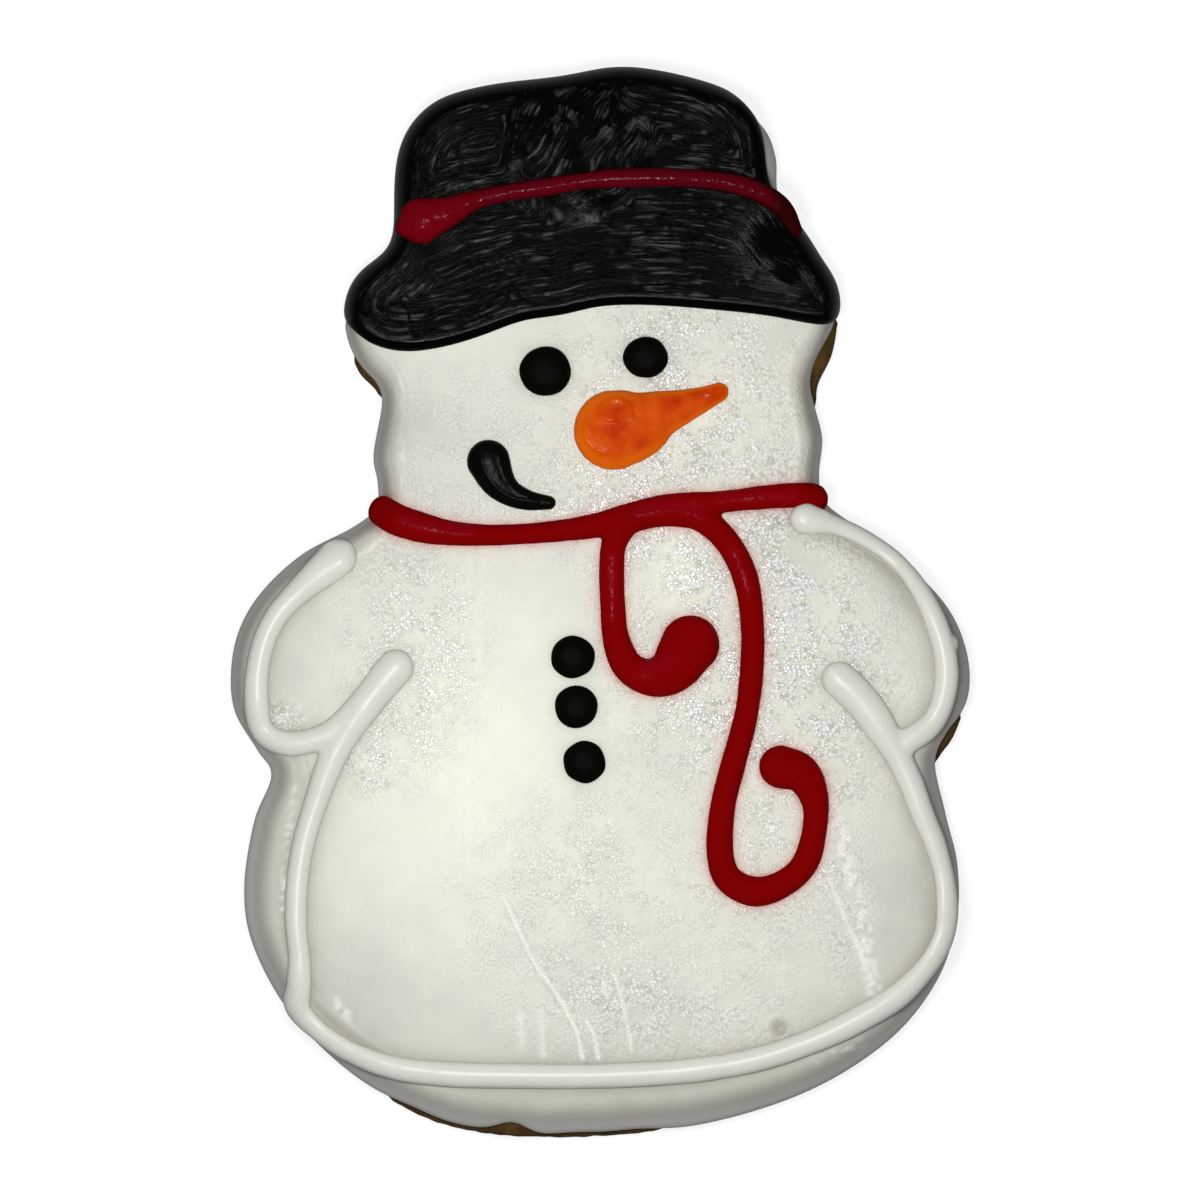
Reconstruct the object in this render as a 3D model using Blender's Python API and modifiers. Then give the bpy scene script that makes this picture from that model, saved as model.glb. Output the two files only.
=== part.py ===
"""Iced sugar cookie in the shape of a snowman with a top hat and a scarf.

A thick cut-out cookie lies on its back. White icing has been poured over its
top and sides, black icing is brushed on for the hat, and the band, scarf,
face, buttons and outlines are piped on top. Seen from above, +X is to the
right, +Y points to the hat and +Z is up. The origin is at the middle of the
underside. Lengths are in millimetres until a mesh is made.
"""
import math

import bmesh
import bpy
from mathutils import Vector
from mathutils.bvhtree import BVHTree
from mathutils.geometry import delaunay_2d_cdt

MM = 0.001

# Gap between pieces that touch, wider where the icing shell lines the dough
GAP = 0.3
UNDER_ICING_GAP = 0.5
# Faces narrower than this are welded shut
SLIVER = 0.008

# Heights above the table
ICING_TOP = 11.2
ICING_CROWN = 0.35
DOUGH_CROWN = 0.15
CROWN_REACH = 6.0
RIM_HEIGHT = 2.0
HAT_RIM_HEIGHT = 3.4

# Thickness of the layers
ICING_THICKNESS = 1.4
HAT_THICKNESS = 1.3
HAT_EDGE_START = 0.4
HAT_EDGE_SLOPE = 0.9

# Where the icing stops short of the cookie's edge and the dough shows:
# x, y, reach along the edge, how far the icing is drawn in, rise of its rim
BARE_SPOTS = [
    (27.6, 29.0, 4.2, 1.6, 4.0),
    (-28.6, 27.0, 3.0, 0.8, 2.5),
    (42.6, -16.8, 3.0, 1.0, 2.5),
    (-10.7, -64.6, 2.6, 1.5, 3.5),
    (-22.5, -62.2, 4.5, 0.6, 0.8),
    (-15.5, -64.2, 4.5, 0.5, 0.8),
    (-3.0, -64.9, 5.0, 0.6, 0.6),
    (4.5, -64.6, 4.0, 0.5, 0.4),
]
# How much sooner than the icing is drawn in the dough reaches the full outline
BARE_FULLNESS = 2.5
# The dough's foot: how far inside the outline, then the height as a part of
# the icing's rim height and the extra inset there
FOOT_INSET = 0.9
FOOT_PROFILE = [(0.0, 0.5), (0.5, 0.0), (1.0, 0.15)]

# Outline seen from above, clockwise from the hat's left corner: x, y and the
# width of the rounded shoulder between the flat top and the side
HAT_CROWN = [
    (-24.7, 46.8, 2.6), (-24.7, 50.0, 2.6), (-24.4, 53.6, 2.6),
    (-23.6, 56.2, 2.6), (-22.2, 58.4, 2.6), (-19.2, 60.8, 2.6),
    (-13.2, 62.4, 2.6), (-4.9, 63.4, 2.6), (2.7, 64.6, 2.6),
    (10.9, 63.3, 2.6), (17.0, 61.0, 2.6), (20.1, 57.7, 2.6),
    (21.3, 54.0, 2.6), (21.8, 50.2, 2.6),
]
HAT_BRIM_RIGHT = [
    (23.2, 46.7, 2.4), (25.3, 43.8, 2.4), (26.6, 41.5, 2.4),
    (28.4, 38.9, 2.4), (29.0, 35.9, 2.4), (28.7, 32.6, 2.6),
]
HEAD_RIGHT = [
    (28.0, 29.5, 2.8), (26.4, 26.1, 3.0), (26.4, 23.2, 3.0),
    (27.0, 19.5, 3.0), (26.6, 15.2, 3.0), (27.4, 11.9, 3.0),
]
ARM_RIGHT = [
    (31.8, 8.6, 2.6), (37.0, 4.7, 2.6), (42.0, -0.5, 2.8),
    (44.4, -5.7, 3.2), (44.8, -11.0, 3.4), (43.0, -16.3, 3.4),
    (40.9, -20.0, 3.6),
]
BELLY = [
    (42.0, -26.0, 3.6), (43.4, -32.0, 3.4), (43.3, -38.9, 3.2),
    (40.8, -46.3, 4.0), (35.1, -53.3, 4.8), (25.7, -59.3, 5.6),
    (13.9, -63.2, 6.4), (1.2, -64.9, 6.4), (-11.2, -64.9, 6.4),
    (-20.6, -63.0, 6.0), (-29.7, -57.7, 4.8), (-37.4, -50.3, 4.2),
    (-42.0, -42.1, 5.4), (-43.2, -35.1, 5.8), (-42.0, -26.8, 5.4),
    (-39.9, -21.2, 4.6),
]
ARM_LEFT = [
    (-41.6, -18.1, 4.0), (-44.3, -13.5, 3.4), (-44.8, -8.6, 3.4),
    (-43.8, -3.5, 3.4), (-41.0, 1.2, 3.4), (-36.1, 5.7, 3.4),
    (-30.1, 8.9, 3.2),
]
HEAD_LEFT = [
    (-27.2, 11.3, 3.0), (-27.0, 14.4, 3.0), (-27.5, 17.7, 3.0),
    (-26.7, 24.4, 3.0), (-29.4, 28.0, 3.0), (-30.9, 32.9, 2.6),
]
HAT_BRIM_LEFT = [
    (-30.7, 36.4, 2.4), (-29.8, 38.8, 2.4), (-28.2, 40.5, 2.4),
    (-26.0, 42.0, 2.4), (-24.9, 43.9, 2.4),
]
SILHOUETTE = (HAT_CROWN + HAT_BRIM_RIGHT + HEAD_RIGHT + ARM_RIGHT + BELLY
              + ARM_LEFT + HEAD_LEFT + HAT_BRIM_LEFT)
OUTLINE_STEP = 3.6
# Short straight parts that measure the curve between two given points
CURVE_PARTS = 24

# Profile of the icing's side: part of the shoulder's width, height above rim
# as a part of the rise to the top
SIDE_PROFILE = [(0.05, 0.0), (0.0, 0.18), (0.07, 0.43), (0.26, 0.68),
                (0.58, 0.89), (1.0, 1.0)]
RIM_TUCK = 0.3
# The flat top starts at least this far inside the ring below it
TOP_RING_STEP = 0.4
CAP_GRID = 8.5
CAP_MARGIN = 3.8
SAME_PLACE = 1e-6

# The hat overhangs the white icing from here up, but for a sliver at its right
HAT_OVERHANG = 1.0
HAT_START = 33.0
HAT_FULL = 37.0
WHITE_SLIVER = (21.6, 54.0, 6.0)

# Lower edge of the hat across the forehead, from its right end to its left
FOREHEAD = [
    (29.6, 33.9), (27.6, 33.3), (24.9, 33.7), (20.0, 34.6), (13.3, 35.3),
    (6.1, 35.8), (0.2, 35.7), (-4.6, 34.6), (-9.5, 33.9), (-14.3, 32.1),
    (-19.2, 30.7), (-24.0, 30.2), (-28.1, 31.3), (-31.0, 34.0),
]
# Right edge of the hat's crown, beside the sliver of white icing
CROWN_EDGE = [
    (17.5, 63.0), (19.4, 60.4), (20.6, 57.0), (20.9, 53.0), (21.3, 50.2),
    (24.8, 48.8),
]
# The cut runs well outside the cookie elsewhere
HAT_OUTSIDE_LEFT = [(-35.0, 36.0), (-35.0, 50.0), (-30.0, 64.0), (0.0, 70.0)]
HAT_OUTSIDE_RIGHT = [(31.0, 46.0), (33.0, 38.0), (32.0, 34.5)]

# Piped lines: x, y and half width of the line along its middle
HAT_BAND = [
    (-21.5, 46.1, 2.8), (-18.3, 47.2, 1.9), (-15.5, 48.4, 1.2),
    (-11.5, 49.4, 1.05), (-6.7, 50.1, 1.0), (0.0, 51.1, 1.05),
    (7.3, 51.3, 1.1), (12.7, 51.1, 1.1), (17.2, 50.3, 1.15),
    (19.9, 49.1, 1.3), (22.0, 47.1, 1.4), (23.4, 44.8, 1.2),
]
SCARF_NECK = [
    (-27.6, 11.5, 1.7), (-26.2, 10.8, 1.8), (-24.0, 9.6, 1.9),
    (-19.4, 8.4, 1.6), (-14.6, 8.0, 1.3), (-9.7, 8.1, 1.2),
    (-4.9, 8.5, 1.3), (0.2, 9.3, 1.5), (7.3, 11.4, 1.4),
    (14.6, 12.0, 1.3), (19.4, 12.5, 1.4), (23.7, 12.8, 1.5),
    (26.3, 12.4, 1.7),
]
SCARF_SHORT_TAIL = [
    (3.0, 9.2, 1.5), (1.7, 7.0, 1.5), (1.4, 4.0, 1.5), (1.5, 0.1, 1.5),
    (1.9, -4.4, 1.6), (3.3, -7.8, 1.9), (5.9, -9.2, 2.3), (8.6, -8.4, 2.9),
]
SCARF_SHORT_TAIL_BLOB = (10.9, -5.3, 3.5)
SCARF_LONG_TAIL = [
    (3.0, 9.4, 1.5), (6.0, 10.5, 1.7), (9.2, 10.7, 1.7), (12.4, 9.9, 1.6),
    (15.5, 7.0, 1.5), (17.6, 2.8, 1.5), (18.4, -2.3, 1.4), (18.4, -7.8, 1.4),
    (17.7, -13.8, 1.4), (16.1, -19.9, 1.5), (14.9, -24.7, 1.5),
    (14.5, -30.0, 1.6), (15.5, -33.6, 1.7), (18.8, -35.2, 1.8),
    (22.4, -34.1, 1.6), (25.0, -31.4, 1.6), (26.1, -26.6, 1.5),
    (25.8, -23.4, 1.8), (24.3, -20.9, 2.3),
]
SCARF_LONG_TAIL_BLOB = (21.9, -20.1, 2.6)
ARM_LOOP_LEFT = [
    (-31.8, 5.0, 2.5), (-34.2, 3.1, 2.0), (-36.6, 1.0, 1.6),
    (-39.2, -1.9, 1.4), (-40.9, -5.7, 1.4), (-41.6, -10.6, 1.5),
    (-40.8, -15.3, 1.6), (-37.8, -17.2, 1.5), (-34.0, -16.6, 1.5),
]
BODY_LINE = [
    (-24.8, -8.1, 2.2), (-27.4, -11.2, 2.1), (-30.1, -14.9, 1.9),
    (-32.4, -19.0, 1.7), (-34.3, -24.1, 1.5), (-35.8, -29.0, 1.4),
    (-36.6, -33.8, 1.4), (-36.8, -38.7, 1.35), (-36.4, -42.9, 1.35),
    (-36.3, -46.6, 1.6), (-36.3, -49.0, 1.9), (-33.8, -51.8, 1.6),
    (-30.0, -54.4, 1.5), (-24.9, -56.4, 1.5), (-18.2, -57.3, 1.5),
    (-9.7, -57.5, 1.5), (0.0, -57.5, 1.5), (9.7, -57.0, 1.5),
    (18.2, -55.7, 1.5), (24.9, -53.6, 1.5), (30.3, -51.0, 1.6),
    (35.0, -47.8, 1.6), (38.3, -44.0, 1.5), (40.6, -40.8, 1.6),
    (41.6, -37.9, 1.6), (41.0, -33.8, 1.35), (40.1, -29.6, 1.4),
    (38.9, -26.0, 1.45), (37.7, -22.3, 1.5), (36.0, -18.6, 1.6),
    (34.2, -15.7, 1.7), (32.3, -12.8, 1.85), (30.5, -10.8, 1.95),
    (29.0, -9.4, 1.95),
]
ARM_LOOP_RIGHT = [
    (24.9, 9.9, 2.0), (28.0, 9.0, 1.4), (31.6, 7.3, 1.3), (35.6, 4.5, 1.3),
    (38.8, 0.6, 1.35), (41.0, -3.8, 1.4), (41.9, -8.1, 1.45),
    (41.5, -11.8, 1.45), (39.9, -14.9, 1.5), (37.0, -17.2, 1.6),
]
MOUTH = [
    (-13.5, 16.9, 2.6), (-12.4, 14.6, 2.1), (-10.9, 13.1, 1.6),
    (-8.7, 12.2, 1.2), (-6.2, 11.9, 0.8),
]
NOSE = [
    (1.7, 20.7, 4.75), (4.9, 21.5, 4.1), (7.5, 22.7, 2.9), (10.2, 23.6, 2.05),
    (12.6, 24.5, 1.5), (14.4, 25.3, 1.15),
]
# A line's stations, the rise of its middle as a part of its half width, and
# the height past which a fat line sags. Ends are rounded by extra stations:
# reach past the end and width there, as parts of the half width. A line that
# runs over the cookie's edge follows the side at the given height.
LINE_STEP = 2.6
LINE_LIFT = 0.3
LINE_ROUND = 1.1
LINE_SAG = 0.5
LINE_SIDES_RESOLUTION = 2
LINE_END_PROFILE = [(0.55, 0.84), (0.92, 0.40)]
LINE_WELD = 0.01
STEEPEST_UNDER_LINE = 0.35
OVERHANG_HEIGHT = 9.0
FAR_ABOVE = 100.0
BLOB_FLATNESS = 0.5
BLOB_RISE = 0.6
NOSE_FLATNESS = 0.5
MOUTH_FLATNESS = 0.7

# Round drops: x, y, half width, half length, height above the icing
DROPS = {
    "left_eye": (-6.6, 27.8, 3.15, 2.95, 1.7),
    "right_eye": (5.5, 29.5, 2.7, 2.5, 1.6),
    "button_top": (-3.3, -6.8, 2.65, 2.6, 1.6),
    "button_middle": (-2.9, -12.8, 2.6, 2.6, 1.6),
    "button_bottom": (-1.9, -19.5, 2.55, 2.55, 1.6),
}
DROP_SEGMENTS = 18
DROP_RINGS = 8

# Colour and roughness of each piece
FINISH = {
    "dough": ((0.50, 0.27, 0.09), 0.85),
    "white_icing": ((0.80, 0.80, 0.70), 0.38),
    "hat_icing": ((0.006, 0.006, 0.006), 0.40),
    "hat_band": ((0.22, 0.003, 0.006), 0.28),
    "scarf": ((0.22, 0.003, 0.006), 0.28),
    "white_piping": ((0.76, 0.76, 0.66), 0.30),
    "mouth": ((0.006, 0.005, 0.004), 0.45),
    "nose": ((0.70, 0.11, 0.006), 0.25),
}
DROP_FINISH = ((0.006, 0.005, 0.004), 0.50)
SHARP_ANGLE = 40.0


def remove_startup_objects():
    for item in list(bpy.data.objects):
        bpy.data.objects.remove(item, do_unlink=True)


def new_collection(name):
    collection = bpy.data.collections.new(name)
    bpy.context.scene.collection.children.link(collection)
    return collection


# Curves through hand-placed points

def catmull_rom(before, start, end, after, t):
    """Point between start and end on the smooth curve through all four."""
    return 0.5 * (2.0 * start + (end - before) * t
                  + (2.0 * before - 5.0 * start + 4.0 * end - after) * t ** 2
                  + (3.0 * start - before - 3.0 * end + after) * t ** 3)


def smooth_path(points, step, closed=False):
    """Points at even steps along the smooth curve through the given ones."""
    knots = [Vector(point) for point in points]
    if closed:
        knots = [knots[-1]] + knots + knots[:2]
    else:
        knots = [2.0 * knots[0] - knots[1]] + knots + [2.0 * knots[-1] - knots[-2]]
    fine = []
    for index in range(1, len(knots) - 2):
        for piece in range(CURVE_PARTS):
            fine.append(catmull_rom(*knots[index - 1:index + 3], piece / CURVE_PARTS))
    fine.append(knots[-2])
    lengths = [0.0]
    for first, second in zip(fine, fine[1:]):
        lengths.append(lengths[-1] + (second.xy - first.xy).length)
    count = max(2, round(lengths[-1] / step))
    path = []
    cursor = 0
    for index in range(count + (0 if closed else 1)):
        target = lengths[-1] * index / count
        while cursor < len(lengths) - 2 and lengths[cursor + 1] < target:
            cursor += 1
        span = lengths[cursor + 1] - lengths[cursor]
        part = (target - lengths[cursor]) / span if span else 0.0
        path.append(fine[cursor].lerp(fine[cursor + 1], part))
    return path


def outward_normals(loop):
    """Outward unit normals of a clockwise loop, softened a little."""
    count = len(loop)
    raw = []
    for index in range(count):
        along = loop[(index + 1) % count].xy - loop[index - 1].xy
        raw.append(Vector((-along.y, along.x)).normalized())
    return [(raw[index - 1] + 2.0 * raw[index] + raw[(index + 1) % count]).normalized()
            for index in range(count)]


def smoothstep(low, high, value):
    t = min(1.0, max(0.0, (value - low) / (high - low)))
    return t * t * (3.0 - 2.0 * t)


def bell(point, x, y, reach):
    return math.exp(-((point.x - x) ** 2 + (point.y - y) ** 2) / reach ** 2)


# The cookie's edge, as one record for each point of the outline

def outline_records():
    loop = smooth_path(SILHOUETTE, OUTLINE_STEP, closed=True)
    records = []
    for point, normal in zip(loop, outward_normals(loop)):
        drawn_in = sum(spot[3] * bell(point, *spot[:3]) for spot in BARE_SPOTS)
        lifted = sum(spot[4] * bell(point, *spot[:3]) for spot in BARE_SPOTS)
        under_hat = HAT_OVERHANG * smoothstep(HAT_START, HAT_FULL, point.y)
        under_hat *= 1.0 - bell(point, *WHITE_SLIVER)
        bare = min(1.0, BARE_FULLNESS * drawn_in)
        records.append({
            "edge": Vector((point.x, point.y)),
            "normal": normal,
            "shoulder": point.z,
            "icing_inset": drawn_in + under_hat,
            "rim": RIM_HEIGHT + lifted,
            "foot_inset": (FOOT_INSET + under_hat) * (1.0 - bare),
        })
    return records


def side_profile(record, grow):
    """Insets and heights up the icing's side, moved outwards by grow."""
    rise = ICING_TOP - record["rim"]
    flat = [Vector((part * record["shoulder"], record["rim"] + share * rise))
            for part, share in SIDE_PROFILE]
    flat[0].x += RIM_TUCK
    moved = []
    for index, point in enumerate(flat):
        ahead = flat[min(index + 1, len(flat) - 1)]
        behind = flat[max(index - 1, 0)]
        along = (ahead - behind).normalized()
        if index == len(flat) - 1:
            along = Vector((1.0, 0.0))
        moved.append(point + grow * Vector((-along.y, along.x)))
    moved[-1].x = max(moved[-1].x, moved[-2].x + TOP_RING_STEP)
    return moved


def side_rings(records, grow):
    """Closed rings of points up the icing's side, lowest first."""
    rings = [[] for _ in SIDE_PROFILE]
    for record in records:
        for ring, place in zip(rings, side_profile(record, grow)):
            flat = record["edge"] - record["normal"] * (record["icing_inset"] + place.x)
            ring.append(Vector((flat.x, flat.y, place.y)))
    return rings


def inside(point, loop):
    """True if the point is inside the loop, by counting crossings."""
    hit = False
    for first, second in zip(loop, loop[1:] + loop[:1]):
        if (first.y > point.y) != (second.y > point.y):
            cross = first.x + (point.y - first.y) / (second.y - first.y) * (second.x - first.x)
            if point.x < cross:
                hit = not hit
    return hit


def cap(mesh, ring, bulge=0.0):
    """Triangles across a ring, with evenly spread points that may bulge up."""
    loop = [vertex.co for vertex in ring]
    spots = []
    if bulge:
        row_step = CAP_GRID * math.sqrt(0.75)
        low = Vector((min(p.x for p in loop), min(p.y for p in loop)))
        high = Vector((max(p.x for p in loop), max(p.y for p in loop)))
        for row in range(int((high.y - low.y) / row_step) + 1):
            for column in range(int((high.x - low.x) / CAP_GRID) + 1):
                spot = low + Vector(((column + 0.5 * (row % 2)) * CAP_GRID, row * row_step))
                near = min((spot - p.xy).length for p in loop)
                if near > CAP_MARGIN and inside(spot, loop):
                    height = loop[0].z + bulge * (1.0 - math.exp(-near / CROWN_REACH))
                    spots.append(mesh.verts.new((spot.x, spot.y, height)))
    vertices = ring + spots
    count = len(ring)
    edges = [(index, (index + 1) % count) for index in range(count)]
    result = delaunay_2d_cdt([v.co.xy for v in vertices], edges, [list(range(count))], 1,
                             SAME_PLACE)
    for triangle in result[2]:
        mesh.faces.new([vertices[result[3][corner][0]] for corner in triangle])


def loft(name, collection, rings, bulge=0.0, closed=True):
    """Surface through the rings, capped on top, and below where closed."""
    mesh = bmesh.new()
    rows = [[mesh.verts.new(point) for point in ring] for ring in rings]
    for lower, upper in zip(rows, rows[1:]):
        for index in range(len(lower)):
            after = (index + 1) % len(lower)
            mesh.faces.new((lower[index], lower[after], upper[after], upper[index]))
    cap(mesh, rows[-1], bulge)
    if closed:
        cap(mesh, rows[0])
    bmesh.ops.recalc_face_normals(mesh, faces=mesh.faces)
    bmesh.ops.triangulate(mesh, faces=mesh.faces)
    top = max(mesh.faces, key=lambda face: face.calc_center_median().z)
    if top.normal.z < 0.0:
        bmesh.ops.reverse_faces(mesh, faces=mesh.faces)
    return finish_mesh(name, collection, mesh)


def finish_mesh(name, collection, mesh):
    """Turns a bmesh in millimetres into an object in metres."""
    bmesh.ops.scale(mesh, vec=(MM, MM, MM), verts=mesh.verts)
    data = bpy.data.meshes.new(name)
    mesh.to_mesh(data)
    mesh.free()
    item = bpy.data.objects.new(name, data)
    collection.objects.link(item)
    return item


def hide_cutter(item):
    item.hide_render = True
    item.display_type = "WIRE"


def boolean(item, operation, operand):
    """Applies one Boolean with the operand, which is kept."""
    modifier = item.modifiers.new(operation.lower(), "BOOLEAN")
    modifier.operation = operation
    modifier.solver = "EXACT"
    modifier.use_self = operation == "UNION"
    modifier.object = operand
    apply_modifiers(item)


def apply_modifiers(item):
    graph = bpy.context.evaluated_depsgraph_get()
    mesh = bpy.data.meshes.new_from_object(item.evaluated_get(graph))
    old = item.data
    item.modifiers.clear()
    item.data = mesh
    bpy.data.meshes.remove(old)


def clean(item):
    """Welds slivers that a Boolean leaves behind."""
    mesh = bmesh.new()
    mesh.from_mesh(item.data)
    bmesh.ops.remove_doubles(mesh, verts=mesh.verts, dist=SLIVER * MM)
    bmesh.ops.dissolve_degenerate(mesh, edges=mesh.edges, dist=SLIVER * MM)
    bmesh.ops.triangulate(mesh, faces=mesh.faces)
    mesh.to_mesh(item.data)
    mesh.free()


def shade(item, finish):
    colour, roughness = finish
    material = bpy.data.materials.new(item.name)
    material.use_nodes = True
    shader = material.node_tree.nodes["Principled BSDF"]
    shader.inputs["Base Color"].default_value = (*colour, 1.0)
    shader.inputs["Roughness"].default_value = roughness
    shader.inputs["Metallic"].default_value = 0.0
    item.data.materials.clear()
    item.data.materials.append(material)
    item.data.shade_smooth()
    item.data.set_sharp_from_angle(angle=math.radians(SHARP_ANGLE))


# Layers of the cookie

def make_dough(collection, records):
    """The baked dough, its foot a little wider than the iced part above."""
    body = side_rings(records, -(ICING_THICKNESS + UNDER_ICING_GAP))
    foot = []
    for height, extra in FOOT_PROFILE:
        ring = []
        for record in records:
            flat = record["edge"] - record["normal"] * (record["foot_inset"] + extra)
            ring.append(Vector((flat.x, flat.y, height * (record["rim"] - GAP))))
        foot.append(ring)
    ledge = [Vector((point.x, point.y, record["rim"] - 0.5 * GAP))
             for point, record in zip(body[0], records)]
    return loft("dough", collection, foot + [ledge] + body[1:], DOUGH_CROWN)


def make_icing(collection, records):
    """A shell of poured icing over the top and down the sides."""
    icing = loft("white_icing", collection, side_rings(records, 0.0), ICING_CROWN, False)
    shell = icing.modifiers.new("thickness", "SOLIDIFY")
    shell.thickness = ICING_THICKNESS * MM
    shell.offset = -1.0
    apply_modifiers(icing)
    return icing


def make_form(name, collection, records, grow):
    """The whole iced shape as a solid block, grown on every side."""
    form = loft(name, collection, side_rings(records, grow), ICING_CROWN)
    hide_cutter(form)
    return form


def make_hat(collection, cutters, records, icing_clearance):
    """Black icing over the top of the head, hanging over the cookie's edge."""
    above_rim = side_rings(records, HAT_THICKNESS)[1:]
    hat = loft("hat_icing", collection, above_rim, ICING_CROWN)
    front = smooth_path(FOREHEAD, LINE_STEP)
    side = smooth_path(CROWN_EDGE, LINE_STEP)
    loop = [Vector(point) for point in HAT_OUTSIDE_LEFT]
    loop += side
    loop += [Vector(point) for point in HAT_OUTSIDE_RIGHT]
    loop += front
    normals = outward_normals(loop)
    rings = []
    levels = ((0.0, HAT_RIM_HEIGHT), (0.0, ICING_TOP + HAT_EDGE_START),
              (HAT_EDGE_SLOPE, ICING_TOP + HAT_THICKNESS),
              (HAT_EDGE_SLOPE, ICING_TOP + 2.0 * HAT_THICKNESS))
    for inset, height in levels:
        rings.append([Vector((p.x - n.x * inset, p.y - n.y * inset, height))
                      for p, n in zip(loop, normals)])
    prism = loft("hat_cut", cutters, rings)
    hide_cutter(prism)
    boolean(hat, "INTERSECT", prism)
    boolean(hat, "DIFFERENCE", icing_clearance)
    return hat


# Piped lines and drops

def surface_finder(item):
    """Function that gives the place and direction of the surface at x, y."""
    mesh = bmesh.new()
    mesh.from_mesh(item.data)
    bmesh.ops.scale(mesh, vec=(1.0 / MM, 1.0 / MM, 1.0 / MM), verts=mesh.verts)
    tree = BVHTree.FromBMesh(mesh)
    mesh.free()

    def find(x, y):
        above = Vector((x, y, FAR_ABOVE))
        place, normal, _, _ = tree.ray_cast(above, Vector((0.0, 0.0, -1.0)))
        if place is None or normal.z < STEEPEST_UNDER_LINE:
            place, normal, _, _ = tree.find_nearest(Vector((x, y, OVERHANG_HEIGHT)))
        return place, normal

    return find


def line_stations(points, find, grow):
    """Places and radii along a piped line that follows the surface."""
    path = smooth_path(points, LINE_STEP)
    first = (path[0].xy - path[1].xy).normalized()
    last = (path[-1].xy - path[-2].xy).normalized()
    stations = [(p.x, p.y, p.z) for p in path]
    for reach, share in LINE_END_PROFILE:
        start = path[0].xy + first * path[0].z * reach
        end = path[-1].xy + last * path[-1].z * reach
        stations.insert(0, (start.x, start.y, path[0].z * share))
        stations.append((end.x, end.y, path[-1].z * share))
    places = []
    for x, y, radius in stations:
        place, normal = find(x, y)
        lift = LINE_LIFT * radius
        places.append((place + normal * lift, radius + grow))
    return places


def make_line(name, collection, points, find, grow=0.0, flatness=1.0):
    """A piped line as a tube of changing width, made into a mesh."""
    curve = bpy.data.curves.new(name, "CURVE")
    curve.dimensions = "3D"
    curve.bevel_depth = MM
    curve.bevel_resolution = LINE_SIDES_RESOLUTION
    curve.use_fill_caps = True
    spline = curve.splines.new("POLY")
    stations = line_stations(points, find, grow)
    spline.points.add(len(stations) - 1)
    for spot, (place, radius) in zip(spline.points, stations):
        spot.co = (place.x * MM, place.y * MM, place.z * MM, 1.0)
        spot.radius = radius
    tube = bpy.data.objects.new(name + "_path", curve)
    collection.objects.link(tube)
    graph = bpy.context.evaluated_depsgraph_get()
    data = bpy.data.meshes.new_from_object(tube.evaluated_get(graph))
    line = bpy.data.objects.new(name, data)
    line.matrix_world = tube.matrix_world
    collection.objects.link(line)
    bpy.data.objects.remove(tube, do_unlink=True)
    bpy.data.curves.remove(curve)
    mesh = bmesh.new()
    mesh.from_mesh(data)
    bmesh.ops.remove_doubles(mesh, verts=mesh.verts, dist=LINE_WELD * MM)
    for vertex in mesh.verts:
        base = find(vertex.co.x / MM, vertex.co.y / MM)[0].z * MM
        rise = (vertex.co.z - base) * flatness
        extra = max(0.0, rise - LINE_ROUND * MM)
        vertex.co.z = base + rise - extra * LINE_SAG
    bmesh.ops.recalc_face_normals(mesh, faces=mesh.faces)
    bmesh.ops.triangulate(mesh, faces=mesh.faces)
    mesh.to_mesh(data)
    mesh.free()
    return line


def make_drop(name, collection, find, x, y, half_width, half_length, height):
    """A round drop of icing, as a flattened ball set into the surface."""
    place, _ = find(x, y)
    mesh = bmesh.new()
    bmesh.ops.create_uvsphere(mesh, u_segments=DROP_SEGMENTS, v_segments=DROP_RINGS, radius=1.0)
    bmesh.ops.scale(mesh, vec=(half_width, half_length, height), verts=mesh.verts)
    bmesh.ops.translate(mesh, vec=place, verts=mesh.verts)
    return finish_mesh(name, collection, mesh)


def make_blob(name, collection, find, x, y, radius):
    """The round end of a line, where more icing came out of the nozzle."""
    height = BLOB_FLATNESS * radius + BLOB_RISE
    return make_drop(name, collection, find, x, y, radius, radius, height)


def fuse(name, pieces):
    """Unites overlapping pieces into the first one."""
    whole = pieces[0]
    for piece in pieces[1:]:
        boolean(whole, "UNION", piece)
        bpy.data.objects.remove(piece, do_unlink=True)
    whole.name = name
    return whole


def make_scarf(collection, find):
    """Neck band with two hanging tails that curl into round ends."""
    return fuse("scarf", [
        make_line("scarf_neck", collection, SCARF_NECK, find),
        make_line("scarf_short", collection, SCARF_SHORT_TAIL, find),
        make_blob("scarf_short_end", collection, find, *SCARF_SHORT_TAIL_BLOB),
        make_line("scarf_long", collection, SCARF_LONG_TAIL, find),
        make_blob("scarf_long_end", collection, find, *SCARF_LONG_TAIL_BLOB),
    ])


def make_piping(collection, find):
    """White lines round both arms and the belly, all joined."""
    return fuse("white_piping", [
        make_line("arm_loop_left", collection, ARM_LOOP_LEFT, find),
        make_line("body_line", collection, BODY_LINE, find),
        make_line("arm_loop_right", collection, ARM_LOOP_RIGHT, find),
    ])


def centre_on_origin(items):
    """Moves every piece so that the box round them all is centred."""
    corners = [vertex.co for item in items for vertex in item.data.vertices]
    middle_x = 0.5 * (min(c.x for c in corners) + max(c.x for c in corners))
    middle_y = 0.5 * (min(c.y for c in corners) + max(c.y for c in corners))
    lowest = min(c.z for c in corners)
    for item in items:
        item.location = (-middle_x, -middle_y, -lowest)


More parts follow.
